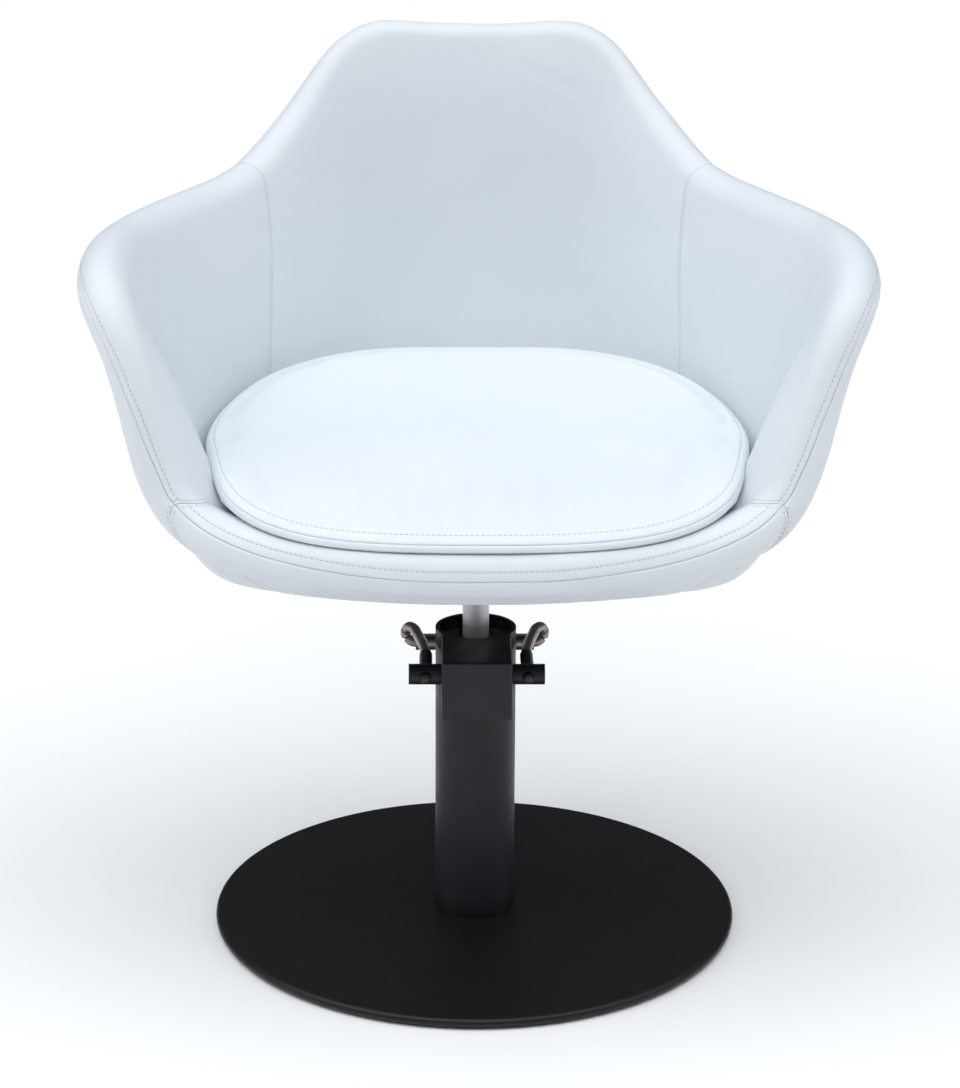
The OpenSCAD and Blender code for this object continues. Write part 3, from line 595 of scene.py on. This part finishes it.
def paint(name, colour, unshaded_colour, roughness=0.4):
    """Satin black paint: the base disc near the floor is darker than the column and the pump, as painted
    shade.
    """
    f = Finish(name, colour, roughness)
    f.vary_colour(f.axis("Z"), unshaded_colour, *PAINT_SHADE_HEIGHTS)
    f.vary_roughness(f.noise(55.0, 4.0), roughness - 0.05, roughness + 0.06)
    f.bump(f.noise(420.0, 2.0), 0.00008, 0.25)
    f.set("Specular IOR Level", 0.3)
    return f.material


def metal(name, colour, roughness, brushing, metallic=1.0):
    """Brushed metal; brushing is how much finer the lines are along each axis."""
    f = Finish(name, colour, roughness, metallic)
    lines = f.noise(1.0, 4.0, f.stretched(brushing))
    f.vary_colour(f.noise(25.0, 3.0), tuple(c * 0.82 for c in colour))
    f.vary_roughness(lines, roughness * 0.8, roughness * 1.3)
    f.bump(lines, BRUSH_DEPTH, 0.3)
    return f.material


def lever_steel():
    """Bare steel rods, coloured black towards the front where they go through the cross-shaft: painted
    shade in the shaft's hole.
    """
    f = Finish("lever_steel_looks", (0.012, 0.013, 0.015), 0.36, 1.0)
    lines = f.noise(1.0, 4.0, f.stretched((400.0, 60.0, 400.0)))
    f.vary_roughness(lines, 0.3, 0.46)
    f.bump(lines, BRUSH_DEPTH, 0.3)
    f.vary_colour(f.axis("Y"), (0.33, 0.29, 0.265), *ROD_SHADE_END)
    bare = f.spread(f.axis("Y"), 0.0, 1.0, *ROD_SHADE_END)
    f.links.new(bare, f.shader.inputs["Metallic"])
    return f.material


def rubber():
    f = Finish("rubber_looks", (0.028, 0.028, 0.03), 0.75)
    f.vary_colour(f.noise(60.0, 4.0), (0.045, 0.045, 0.047))
    f.vary_roughness(f.noise(90.0), 0.66, 0.84)
    f.bump(f.noise(1500.0, 2.0), 0.0001, 0.3)
    return f.material


def wood():
    f = Finish("plywood_looks", (0.6, 0.43, 0.25), 0.62)
    grain = f.noise(1.0, 5.0, f.stretched((18.0, 220.0, 900.0)))
    f.vary_colour(grain, (0.4, 0.26, 0.13))
    f.vary_roughness(grain, 0.5, 0.72)
    f.bump(grain, 0.0002, 0.4)
    return f.material


def moulded_plastic():
    f = Finish("shell_looks", (0.72, 0.71, 0.68), 0.5)
    f.vary_colour(f.noise(20.0), (0.66, 0.65, 0.62))
    f.vary_roughness(f.noise(70.0), 0.42, 0.6)
    f.bump(f.noise(700.0), 0.0001, 0.3)
    return f.material


def foam_rubber():
    f = Finish("foam_looks", (0.84, 0.78, 0.58), 0.9)
    f.vary_colour(f.noise(30.0), (0.76, 0.68, 0.46))
    f.vary_roughness(f.noise(120.0), 0.82, 0.97)
    f.bump(f.cells(900.0, "F1"), 0.0006, 0.6)
    return f.material


def dust_fabric():
    f = Finish("dust_cloth_looks", (0.045, 0.045, 0.05), 0.95)
    f.vary_colour(f.noise(700.0, 2.0), (0.085, 0.085, 0.09))
    f.vary_roughness(f.noise(300.0), 0.88, 0.99)
    f.bump(f.cells(1300.0), 0.0002, 0.5)
    f.set("Sheen Weight", 0.15)
    return f.material


# the thread is as white as the leatherette; its grey colour is painted shade of the stitch holes and the
# channel under them
def thread():
    f = Finish("thread_painted_shade_looks", (0.52, 0.55, 0.59), 0.7)
    f.vary_colour(f.noise(600.0), (0.42, 0.45, 0.49))
    f.vary_roughness(f.noise(400.0), 0.6, 0.8)
    f.bump(f.noise(3000.0), 0.0001, 0.4)
    return f.material


LOOKS = {
    "rubber": rubber(),
    # first colour: painted shade on the base disc near the floor; second: the paint of the column and the
    # pump
    "black_paint": paint("black_paint_looks", (0.0065, 0.0068, 0.0072), (0.014, 0.017, 0.02)),
    "lever_steel": lever_steel(),
    "plain_steel": metal("plain_steel_looks", (0.5, 0.5, 0.51), 0.34, (300.0, 300.0, 60.0)),
    "zinc_fasteners": metal("zinc_looks", (0.6, 0.61, 0.62), 0.38, (300.0, 300.0, 90.0)),
    # the rod's near-white colour with little metal stands in for the chrome's reflection of the pale floor:
    # painted reflection
    "polished_rod": metal(
        "polished_rod_painted_reflection_looks",
        (0.93, 0.94, 0.95),
        0.3,
        (30.0, 30.0, 1500.0),
        metallic=0.15,
    ),
    "bronze": metal("bronze_looks", (0.62, 0.46, 0.22), 0.38, (260.0, 60.0, 260.0)),
    "plywood": wood(),
    "shell_plastic": moulded_plastic(),
    "foam": foam_rubber(),
    "white_leatherette": leatherette(
        "white_leatherette_looks",
        (0.72, 0.76, 0.80),
        (0.69, 0.735, 0.78),
    ),
    "cushion_leatherette": leatherette(
        "cushion_leatherette_looks",
        (0.75, 0.79, 0.835),
        (0.72, 0.765, 0.815),
    ),
    "dust_cloth": dust_fabric(),
}
SHADED_THREAD = thread()


# ---------- hardware ----------
def dress_cad_nodes():
    """Gives every CAD node the looks of its slot, with softened edges on the turned and milled pieces."""
    sharp_slots = ("foam", "white_leatherette", "cushion_leatherette", "dust_cloth", "shell_plastic")
    for part in frame["record"]["subparts"]:
        obj = frame["nodes"][part["node"]]
        slot_name = part["material_slot"]
        obj.data.materials.clear()
        obj.data.materials.append(LOOKS[slot_name])
        if slot_name not in sharp_slots:
            soften(obj)


def soften(obj):
    """Rounds the hard edges of a CAD node a little, by a modifier."""
    bevel = obj.modifiers.new("soft_edges", "BEVEL")
    bevel.width = 0.35 * MM
    bevel.segments = 2
    bevel.limit_method = "ANGLE"
    bevel.angle_limit = math.radians(40)
    bevel.harden_normals = True


# ---------- tub ----------
def plain(value):
    """A panel's edge at one height all along."""
    return lambda places: np.full_like(places, value)


def seam_below(places):
    """Where the inner panels end, just under the seam over the rim."""
    return seam_height(places) - HEIGHT_TRIM


def seam_above(places):
    """Where the outer panels start, just past the seam over the rim."""
    return seam_height(places) + HEIGHT_TRIM


def mirrored(folds):
    return [((-a[0], a[1]), (-b[0], b[1]), width, deep) for a, b, width, deep in folds]


# depths of the seams
CROSS_SEAM = 0.9
EDGE_SEAM = 1.3
FOOT_SEAM = 1.5
UNDER_SEAM = 0.6
# distances of the rows of stitches from their seams
BACK_STITCH = 2.4
CORNER_STITCH = 3.0
OUTER_STITCH = 4.0
ARM_STITCH = 6.5
DECK_STITCH = 9.0
# start and end of the short rows at the corners, along the seam
CORNER_ROW = (2.5, 46.0)
# shallow creases: start and end as place and height, width, depth
BACK_FOLDS = [
    ((0.030, 0.955), (0.105, 0.900), 6.0, 0.9),
    ((0.055, 0.900), (0.118, 0.850), 6.0, 0.5),
    ((-0.110, 0.900), (-0.060, 0.940), 7.0, 0.4),
    ((0.215, 0.300), (0.160, 0.220), 9.0, 0.7),
    ((-0.220, 0.340), (-0.170, 0.240), 9.0, 0.6),
]
ARM_FOLDS = [
    ((0.300, 0.300), (0.360, 0.200), 9.0, 0.6),
    ((0.560, 0.900), (0.600, 0.760), 8.0, 0.6),
    ((0.700, 0.500), (0.730, 0.900), 6.0, 0.5),
]


def build_tub():
    """Every upholstered panel of the tub and its stitching, riding on the seat."""
    white = LOOKS["white_leatherette"]
    back = Panel(
        "inner_back_panel",
        (-SEAM_BACK + SEAM_TRIM, SEAM_BACK - SEAM_TRIM),
        plain(WALL_FOOT),
        seam_below,
        {"start": CROSS_SEAM, "end": CROSS_SEAM, "low": FOOT_SEAM, "high": EDGE_SEAM},
        {"start": BACK_STITCH, "end": BACK_STITCH},
        white,
        folds=BACK_FOLDS,
        seed=3,
    )
    arms = {}
    for side, name in ((-1, "left"), (1, "right")):
        ends = sorted((side * (SEAM_BACK + SEAM_TRIM), side * (SEAM_FRONT - SEAM_TRIM)))
        inward, outward = ("end", "start") if side < 0 else ("start", "end")
        arms[name] = Panel(
            f"inner_arm_panel_{name}",
            ends,
            plain(WALL_FOOT),
            seam_below,
            {inward: CROSS_SEAM, outward: CROSS_SEAM, "low": FOOT_SEAM, "high": EDGE_SEAM},
            {outward: CORNER_STITCH, "high": ARM_STITCH},
            white,
            folds=ARM_FOLDS if side > 0 else mirrored(ARM_FOLDS),
            seed=5 + side,
        )
    front = Panel(
        "seat_deck_front",
        (SEAM_FRONT + SEAM_TRIM, 2.0 - SEAM_FRONT - SEAM_TRIM),
        plain(0.0),
        seam_below,
        {"start": CROSS_SEAM, "end": CROSS_SEAM, "high": EDGE_SEAM},
        {"start": CORNER_STITCH, "end": CORNER_STITCH, "high": DECK_STITCH},
        white,
        seed=9,
    )
    border = Panel(
        "front_border_panel",
        (SEAM_FRONT + SEAM_TRIM, 2.0 - SEAM_FRONT - SEAM_TRIM),
        seam_above,
        plain(OUTER_FOOT),
        {"start": CROSS_SEAM, "end": CROSS_SEAM, "low": EDGE_SEAM, "high": UNDER_SEAM},
        {"start": OUTER_STITCH, "end": OUTER_STITCH},
        white,
        seed=12,
    )
    outer = Panel(
        "outer_cover_panel",
        (-SEAM_FRONT + SEAM_TRIM, SEAM_FRONT - SEAM_TRIM),
        seam_above,
        plain(OUTER_FOOT),
        {"start": CROSS_SEAM, "end": CROSS_SEAM, "low": EDGE_SEAM, "high": UNDER_SEAM},
        {"start": OUTER_STITCH, "end": OUTER_STITCH},
        white,
        pitch=6.0,
        uneven=0.35,
        seed=15,
    )
    stand_for(back.object, "inner_back_cover")
    stand_for(arms["left"].object, "inner_arm_cover_left")
    stand_for(arms["right"].object, "inner_arm_cover_right")
    stand_for(front.object, "seat_deck_cover")
    stand_for(border.object, "front_border")
    stand_for(outer.object, "outer_cover")
    deck = flat_deck(white)
    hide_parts("seat_deck_cover")
    on_seat(deck)
    rows = [
        arms["left"].row("high", ARM_STITCH, (6, 6)),
        arms["right"].row("high", ARM_STITCH, (6, 6)),
        front.row("high", DECK_STITCH, (6, 6)),
    ]
    on_seat(stitched("edge_stitches", rows, SHADED_THREAD))
    fine = [
        back.row("start", BACK_STITCH, (4, 6)),
        back.row("end", BACK_STITCH, (4, 6)),
        arms["left"].row("start", CORNER_STITCH, (12, 3)),
        arms["right"].row("end", CORNER_STITCH, (12, 3)),
        front.row("start", CORNER_STITCH, (6, 3)),
        front.row("end", CORNER_STITCH, (6, 3)),
        corner_row(border, "start"),
        corner_row(border, "end"),
        corner_row(outer, "start"),
        corner_row(outer, "end"),
    ]
    stitches = stitched("seam_stitches", fine, SHADED_THREAD, pitch=4.2, length=3.0, radius=0.34)
    on_seat(stitches)


def corner_row(panel, side):
    """The short row of stitches that runs down from the corner of the arm and the front."""
    points, normals = panel.row(side, OUTER_STITCH)
    run = run_along(points, 0)
    kept = (run > CORNER_ROW[0]) & (run < CORNER_ROW[1])
    return points[kept], normals[kept]


def on_seat(obj):
    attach(obj, "seat")


def stand_for(obj, node):
    """Puts a padded piece in the place of a plain CAD solid on the seat."""
    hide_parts(node)
    on_seat(obj)


def flat_deck(material):
    """The deck under the cushion, from the walls' foot to the middle."""
    places = np.linspace(-1.0, 1.0, 180, endpoint=False)
    outline = root(places)
    centre = np.array([0.0, CENTRE_Y, 0.0])
    shares = np.linspace(0.04, 1.0, 26)
    rings = centre + (outline[:, None] - centre) * shares[None, :, None]
    rings[..., 2] = DECK_Z - 0.3
    rings[..., 2] += waves(rings, 21, 110.0, 0.3) * smooth((1.0 - shares) / 0.15)[None]
    return lathe_like("seat_deck_flat", [rings - np.array([0.0, 0.0, SHEET]), rings[:, ::-1]], material)


def lathe_like(name, sheets, material):
    """Closed solid of rings all round, closed at both ends by a fan; the sheets run on from each other."""
    grid = np.concatenate(sheets, axis=1)
    m, n = grid.shape[:2]
    quads = grid_quads(m, n, wrap=True)
    first, last = grid[:, 0].mean(axis=0), grid[:, -1].mean(axis=0)
    points = np.concatenate([grid.reshape(-1, 3), [first, last]])
    k = np.arange(m)
    after = (k + 1) % m
    low_fan = np.stack([k * n, after * n, np.full(m, m * n)], axis=-1)
    high_fan = np.stack([after * n + n - 1, k * n + n - 1, np.full(m, m * n + 1)], axis=-1)
    flipped = signed_volume(points, quads) < 0.0
    faces = [f[::-1] if flipped else f for part in (quads, low_fan, high_fan) for f in part.tolist()]
    return new_object(name, points, faces, material)


# ---------- cushion ----------
# gap to the wall, top of the crown, how quickly the top rounds over, the stitches' distance from
# the upper seam, and the most that the simulation may move a point
CUSHION_CLEAR = 2.4
CROWN_Z = 497.0
SHOULDER = 5.0
STITCH_IN = 7.0
SWELL_CAP = 7.0
# stretch of the edge beside the arms that is drawn straight, and its outward slack
STRAIGHT_START = 0.5
STRAIGHT_END = 0.745
STRAIGHT_SLACK = 1.5


def cushion_edge(places, share):
    """The cushion's lower edge at share 1, and its underside on the wall below that."""
    height = column(CUSHION, 1, fold(places))
    return skin(places, height * share, -CUSHION_CLEAR)


def even_places(count):
    """Places round the cushion at even distances along its lower edge."""
    dense = np.linspace(-1.0, 1.0, 1601)
    run = run_along(cushion_edge(dense, 1.0), 0)
    return np.interp(np.arange(count) * run[-1] / count, run, dense)


def evened(loop, spread):
    """A closed loop of points with its small kinks smoothed out."""
    reach = int(3 * spread)
    offsets = np.arange(-reach, reach + 1)
    weights = np.exp(-0.5 * (offsets / spread) ** 2)
    total = sum(w * np.roll(loop, -k, axis=0) for k, w in zip(offsets, weights))
    return total / weights.sum()


def drawn_straight(edge, a):
    """The edge with its stretches beside the fronts of the arms drawn almost straight in plan."""
    result = edge.copy()
    for sign in (-1.0, 1.0):
        beside = (a > STRAIGHT_START) & (a < STRAIGHT_END) & (edge[:, 0] * sign > 0.0)
        rows = np.flatnonzero(beside)
        share = np.linspace(0.0, 1.0, len(rows))[:, None]
        first, last = edge[rows[0], :2], edge[rows[-1], :2]
        slack = np.array([sign * STRAIGHT_SLACK, 0.0]) * np.sin(math.pi * share)
        result[rows, :2] = first + (last - first) * share + slack
    return result


def plan_outward(edge):
    along = np.roll(edge, -1, axis=0) - np.roll(edge, 1, axis=0)
    out = unit(np.stack([along[:, 1], -along[:, 0], np.zeros(len(edge))], axis=-1))
    away = edge - np.array([0.0, CENTRE_Y, 0.0])
    return out * np.where(dot(out, away) < 0.0, -1.0, 1.0)


def cushion_grid():
    """Rings of the cushion from its underside to its crown.

    Returns the points, how freely each may swell, the seams' rings and the stitches' ring.
    """
    places = even_places(330)
    a = fold(places)
    raw_edge = cushion_edge(places, 1.0)
    edge = evened(drawn_straight(evened(raw_edge, 6.0), a), 5.0)
    rise = column(CUSHION, 2, a)
    out = plan_outward(edge)
    front = smooth((a - 0.76) / 0.1)
    bottom_centre = np.array([0.0, CENTRE_Y, DECK_Z + CUSHION_CLEAR])
    foot = root(places)
    foot[:, 2] = DECK_Z + CUSHION_CLEAR
    under = [bottom_centre + (foot - bottom_centre) * k for k in (0.06, 0.2, 0.4, 0.6, 0.8, 0.93)]
    for k in (0.04, 0.12, 0.22, 0.34, 0.46, 0.58, 0.7, 0.82, 0.9, 0.96):
        under.append(cushion_edge(places, k) + (edge - raw_edge) * k**4)
    box_lines = np.array([0.0, 0.05, 0.12, 0.24, 0.4, 0.6, 0.76, 0.88, 0.95, 1.0])
    band = (rise * 0.52)[:, None]
    boxing = []
    for k in box_lines:
        bulge = 1.1 * math.sin(math.pi * k) * (0.3 + 0.7 * front)
        boxing.append(edge + out * bulge[:, None] + UP * band * k)
    seam = edge + UP * band
    centre = np.array([0.0, CENTRE_Y])
    reach = np.linalg.norm(seam[:, :2] - centre, axis=1)
    near = np.concatenate([near_lines(STITCH_IN)[1:], [11.5, 14.5, 18.0]])
    shares = [1.0 - near_d / reach for near_d in near]
    inner_share = 1.0 - near[-1] / reach
    shares += [inner_share * k for k in np.linspace(1.0, 0.03, 42)[1:]]
    top = []
    for share in shares:
        plan = centre + (seam[:, :2] - centre) * share[:, None]
        inset = (1.0 - share) * reach
        drop = (rise * 0.48) * np.exp(-inset / SHOULDER)
        brim = edge[:, 2] + rise
        z = CROWN_Z + (brim - CROWN_Z) * share**2 - drop
        top.append(np.column_stack([plan, z]))
    grid = np.stack(under + boxing + top, axis=1)
    free = np.zeros(grid.shape[1])
    first_top = len(under) + len(boxing)
    for i, share in enumerate(shares):
        free[first_top + i] = smooth((1.0 - float(np.mean(share))) * float(np.mean(reach)) / 26.0 - 0.1)
    seams = (len(under), first_top - 1)
    stitch_ring = first_top + int(np.argmin(np.abs(near - STITCH_IN)))
    return grid, free, seams, stitch_ring


def swollen(grid, free):
    """Moves the cushion's top as a cloth simulation with pressure moves it, and returns the new grid."""
    shape = lathe_like("cushion_sim", [grid], LOOKS["cushion_leatherette"])
    remesh = shape.modifiers.new("even", "REMESH")
    remesh.mode = "VOXEL"
    remesh.voxel_size = 6.0 * MM
    graph = bpy.context.evaluated_depsgraph_get()
    even = bpy.data.meshes.new_from_object(shape.evaluated_get(graph))
    cloth_obj = bpy.data.objects.new("cushion_cloth", even)
    bpy.context.scene.collection.objects.link(cloth_obj)
    looseness = np.repeat(free[None, :], grid.shape[0], axis=0).ravel()
    source = grid.reshape(-1, 3) * MM
    tree = KDTree(len(source))
    for i, p in enumerate(source):
        tree.insert(p, i)
    tree.balance()
    rest = read_points(even)
    nearest = [tree.find(p)[1] for p in rest]
    pins = cloth_obj.vertex_groups.new(name="pins")
    for i, j in enumerate(nearest):
        pins.add([i], 1.0 - float(looseness[j]) * 0.999, "REPLACE")
    run_cloth(cloth_obj)
    graph = bpy.context.evaluated_depsgraph_get()
    moved = read_points(cloth_obj.evaluated_get(graph).to_mesh())
    shift = moved - rest
    length = np.linalg.norm(shift, axis=1, keepdims=True)
    shift *= np.minimum(1.0, SWELL_CAP * MM / np.maximum(length, 1e-9))
    result = spread_shift(source, rest, shift) * looseness[:, None]
    for obj in (shape, cloth_obj):
        bpy.data.objects.remove(obj, do_unlink=True)
    return grid + (result / MM).reshape(grid.shape)


def read_points(mesh):
    flat = np.empty(len(mesh.vertices) * 3)
    mesh.vertices.foreach_get("co", flat)
    return flat.reshape(-1, 3)


def run_cloth(obj):
    """Twenty frames of cloth under pressure, with the pinned points held."""
    cloth = obj.modifiers.new("cloth", "CLOTH")
    settings = cloth.settings
    settings.quality = 6
    settings.mass = 0.2
    settings.tension_stiffness = 15.0
    settings.compression_stiffness = 15.0
    settings.shear_stiffness = 8.0
    settings.bending_stiffness = 1.2
    settings.use_pressure = True
    settings.uniform_pressure_force = 4.0
    settings.shrink_min = -0.012
    settings.vertex_group_mass = "pins"
    settings.effector_weights.gravity = 0.0
    cloth.collision_settings.use_collision = False
    scene = bpy.context.scene
    for number in range(1, 21):
        scene.frame_set(number)


def spread_shift(points, rest, shift):
    """The simulated shift at other points, from the nearest simulated ones."""
    tree = KDTree(len(rest))
    for i, p in enumerate(rest):
        tree.insert(p, i)
    tree.balance()
    result = np.zeros_like(points)
    for i, p in enumerate(points):
        found = tree.find_n(p, 6)
        weights = np.array([1.0 / (f[2] ** 2 + 4e-6) for f in found])
        result[i] = weights @ shift[[f[1] for f in found]] / weights.sum()
    return result


def ring_normals(grid):
    around = np.roll(grid, -1, axis=0) - np.roll(grid, 1, axis=0)
    up = np.gradient(grid, axis=1)
    normal = unit(np.cross(around, up))
    middle = np.array([0.0, CENTRE_Y, 470.0])
    sign = np.sign(np.median(np.sum(normal * (grid - middle), axis=-1)))
    return normal * sign


def build_cushion():
    """The loose cushion: swollen top panel, boxing, sewn edges and a row of top stitches."""
    grid, free, seams, stitch_ring = cushion_grid()
    grid = swollen(grid, free)
    upward = run_along(grid, 1)
    normals = ring_normals(grid)
    depth = np.zeros(grid.shape[:2])
    for ring in seams:
        share = 1.0 - np.clip(np.abs(upward - upward[:, ring : ring + 1]) / 2.2, 0.0, 1.0)
        depth = np.maximum(depth, 1.3 * (1.0 - np.sqrt(1.0 - share**2)))
    off_stitch = upward - upward[:, stitch_ring : stitch_ring + 1]
    depth += 0.6 * np.exp(-((off_stitch / 1.0) ** 2))
    depth += waves(grid, 31, 95.0, 0.35) * free[None, :]
    grid = grid - normals * depth[..., None]
    cushion = lathe_like("seat_cushion_padded", [grid], LOOKS["cushion_leatherette"])
    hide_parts("seat_cushion")
    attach(cushion, "cushion")
    row = (grid[:, stitch_ring], normals[:, stitch_ring])
    stitches = stitched("cushion_stitches", [row], SHADED_THREAD, closed=True)
    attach(stitches, "cushion")


# ---------- pedal ----------
TREAD_CORNER = 9.0
TREAD_EDGE = 1.6
RIB_PITCH = 6.0
RIB_DEPTH = 1.1


def build_pedal_tread():
    """Ribbed rubber tread that stands for the plain pad."""
    low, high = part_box("pedal_rubber")
    centre = (np.array(low) + np.array(high)) / 2.0 / MM
    half_x, half_y = ((np.array(high) - np.array(low)) / 2.0 / MM)[:2]
    bottom, top = low[2] / MM, high[2] / MM
    angles = np.linspace(0.0, 2.0 * math.pi, 96, endpoint=False)
    directions = np.column_stack([np.cos(angles), np.sin(angles)])
    reach = rounded_reach(directions, half_x, half_y, TREAD_CORNER)
    shares = np.linspace(0.03, 1.0, 60)
    plan = centre[:2] + directions[:, None] * (reach[:, None] * shares)[..., None]
    inset = reach[:, None] * (1.0 - shares)
    rounding = 1.0 - np.clip(inset / TREAD_EDGE, 0.0, 1.0)
    edge = TREAD_EDGE * (1.0 - np.sqrt(1.0 - rounding**2))
    wave = np.abs((plan[..., 1] / RIB_PITCH) % 1.0 - 0.5) * 4.0
    ribs = RIB_DEPTH * smooth(wave - 0.5) * smooth(inset / 3.0 - 0.8)
    surface = np.dstack([plan, top - edge - ribs])
    under = np.dstack([plan, np.full(plan.shape[:2], bottom)])
    tread = lathe_like("pedal_tread", [under, surface[:, ::-1]], LOOKS["rubber"])
    tread.data.set_sharp_from_angle(angle=math.radians(50))
    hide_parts("pedal_rubber")
    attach(tread, "foot_lever")


def rounded_reach(directions, half_x, half_y, corner):
    """Distance from the centre to a rounded rectangle's outline in each direction."""
    reach = np.linspace(0.0, half_x + half_y, 1200)
    probe = np.abs(directions[:, None] * reach[None, :, None])
    over = np.maximum(probe - np.array([half_x - corner, half_y - corner]), 0.0)
    inside = np.linalg.norm(over, axis=-1) <= corner
    return reach[inside.sum(axis=1) - 1]


# ---------- studio ----------
CAMERA_DISTANCE = 2.679
CAMERA_HEIGHT = 1.2589
CAMERA_PITCH = math.radians(18.23)
CAMERA_YAW = math.radians(-0.8)
CAMERA_TURN = math.radians(0.076)
CAMERA_ROLL = math.radians(0.3)
CAMERA_LENS = 99.96
SENSOR_WIDTH = 36.0
# half the floor's width and radius of the wall round it, in metres
STUDIO = 13.0
WALL_SIDES = 96


def build_camera():
    """The camera at the photograph's angle, in front of the chair and above it."""
    data = bpy.data.cameras.new("camera")
    data.lens = CAMERA_LENS
    data.sensor_width = SENSOR_WIDTH
    camera = bpy.data.objects.new("camera", data)
    bpy.context.scene.collection.objects.link(camera)
    yaw = CAMERA_YAW - CAMERA_TURN
    forward = Vector(
        (
            -math.sin(yaw) * math.cos(CAMERA_PITCH),
            math.cos(yaw) * math.cos(CAMERA_PITCH),
            -math.sin(CAMERA_PITCH),
        )
    )
    right = Vector((math.cos(yaw), math.sin(yaw), 0.0))
    up = right.cross(forward)
    rolled = right * math.cos(CAMERA_ROLL) + up * math.sin(CAMERA_ROLL)
    up = rolled.cross(forward)
    turn = Matrix((rolled, up, -forward)).transposed()
    place = Vector(
        (
            CAMERA_DISTANCE * math.sin(CAMERA_YAW),
            -CAMERA_DISTANCE * math.cos(CAMERA_YAW),
            CAMERA_HEIGHT,
        )
    )
    camera.matrix_world = Matrix.Translation(place) @ turn.to_4x4()
    bpy.context.scene.camera = camera


def build_floor():
    """A wide pale floor that runs past the camera's view."""
    f = Finish("floor_looks", (0.93, 0.93, 0.93), 0.8)
    f.vary_colour(f.noise(2.0), (0.92, 0.92, 0.92))
    f.set("Specular IOR Level", 0.2)
    corners = [(-STUDIO, -STUDIO), (STUDIO, -STUDIO), (STUDIO, STUDIO), (-STUDIO, STUDIO)]
    points = np.array([[x, y, 0.0] for x, y in corners]) / MM
    floor = new_object("floor", points, [(0, 1, 2, 3)], f.material)


def build_backdrop():
    """A pale wall all round, seen by the camera only, so that it lights and reflects nothing."""
    n = WALL_SIDES
    angles = np.arange(n) * (2.0 * math.pi / n)
    ring = np.column_stack([np.cos(angles), np.sin(angles), np.zeros(n)]) * STUDIO / MM
    points = np.concatenate([ring, ring + UP * STUDIO / MM])
    quads = [(i, (i + 1) % n, n + (i + 1) % n, n + i) for i in range(n)]
    f = Finish("backdrop_looks", (0.93, 0.93, 0.93), 0.8)
    f.vary_colour(f.noise(2.0), (0.92, 0.92, 0.92))
    f.set("Emission Color", (0.93, 0.95, 0.97, 1.0))
    f.set("Emission Strength", 0.6)
    wall = new_object("backdrop", points, quads, f.material)
    wall.visible_diffuse = False
    wall.visible_glossy = False
    wall.visible_transmission = False
    wall.visible_shadow = False


def build_world():
    """Soft light from above that fades to dark near the horizon."""
    world = bpy.data.worlds.new("studio")
    bpy.context.scene.world = world
    world.use_nodes = True
    nodes, links = world.node_tree.nodes, world.node_tree.links
    background = nodes["Background"]
    background.inputs["Strength"].default_value = 1.0
    place = nodes.new("ShaderNodeTexCoord")
    parts = nodes.new("ShaderNodeSeparateXYZ")
    links.new(place.outputs["Generated"], parts.inputs["Vector"])
    ramp = nodes.new("ShaderNodeValToRGB")
    links.new(parts.outputs["Z"], ramp.inputs["Fac"])
    ramp.color_ramp.elements[0].position = 0.35
    ramp.color_ramp.elements[0].color = (0.02, 0.022, 0.026, 1.0)
    ramp.color_ramp.elements[1].position = 0.85
    ramp.color_ramp.elements[1].color = (0.36, 0.41, 0.46, 1.0)
    links.new(ramp.outputs["Color"], background.inputs["Color"])


def soft_sun(name, direction, power, spread):
    """A wide, soft light from one direction; the spread is its apparent size in degrees."""
    data = bpy.data.lights.new(name, "SUN")
    data.energy = power
    data.angle = math.radians(spread)
    obj = bpy.data.objects.new(name, data)
    obj.rotation_mode = "QUATERNION"
    obj.rotation_quaternion = Vector(direction).to_track_quat("-Z", "Y")
    bpy.context.scene.collection.objects.link(obj)


def build_studio():
    """Floor, wall, sky and four soft lights."""
    build_world()
    build_floor()
    build_backdrop()
    soft_sun("overhead", (0.05, 0.3, -1.0), 1.9, 70.0)
    soft_sun("front", (0.1, 1.0, -0.7), 0.2, 60.0)
    soft_sun("left", (1.0, 0.2, -0.7), 0.85, 50.0)
    soft_sun("right", (-1.0, 0.2, -0.7), 0.7, 50.0)
    bpy.context.scene.view_settings.view_transform = "Standard"


dress_cad_nodes()
build_tub()
build_cushion()
build_pedal_tread()
build_studio()
build_camera()
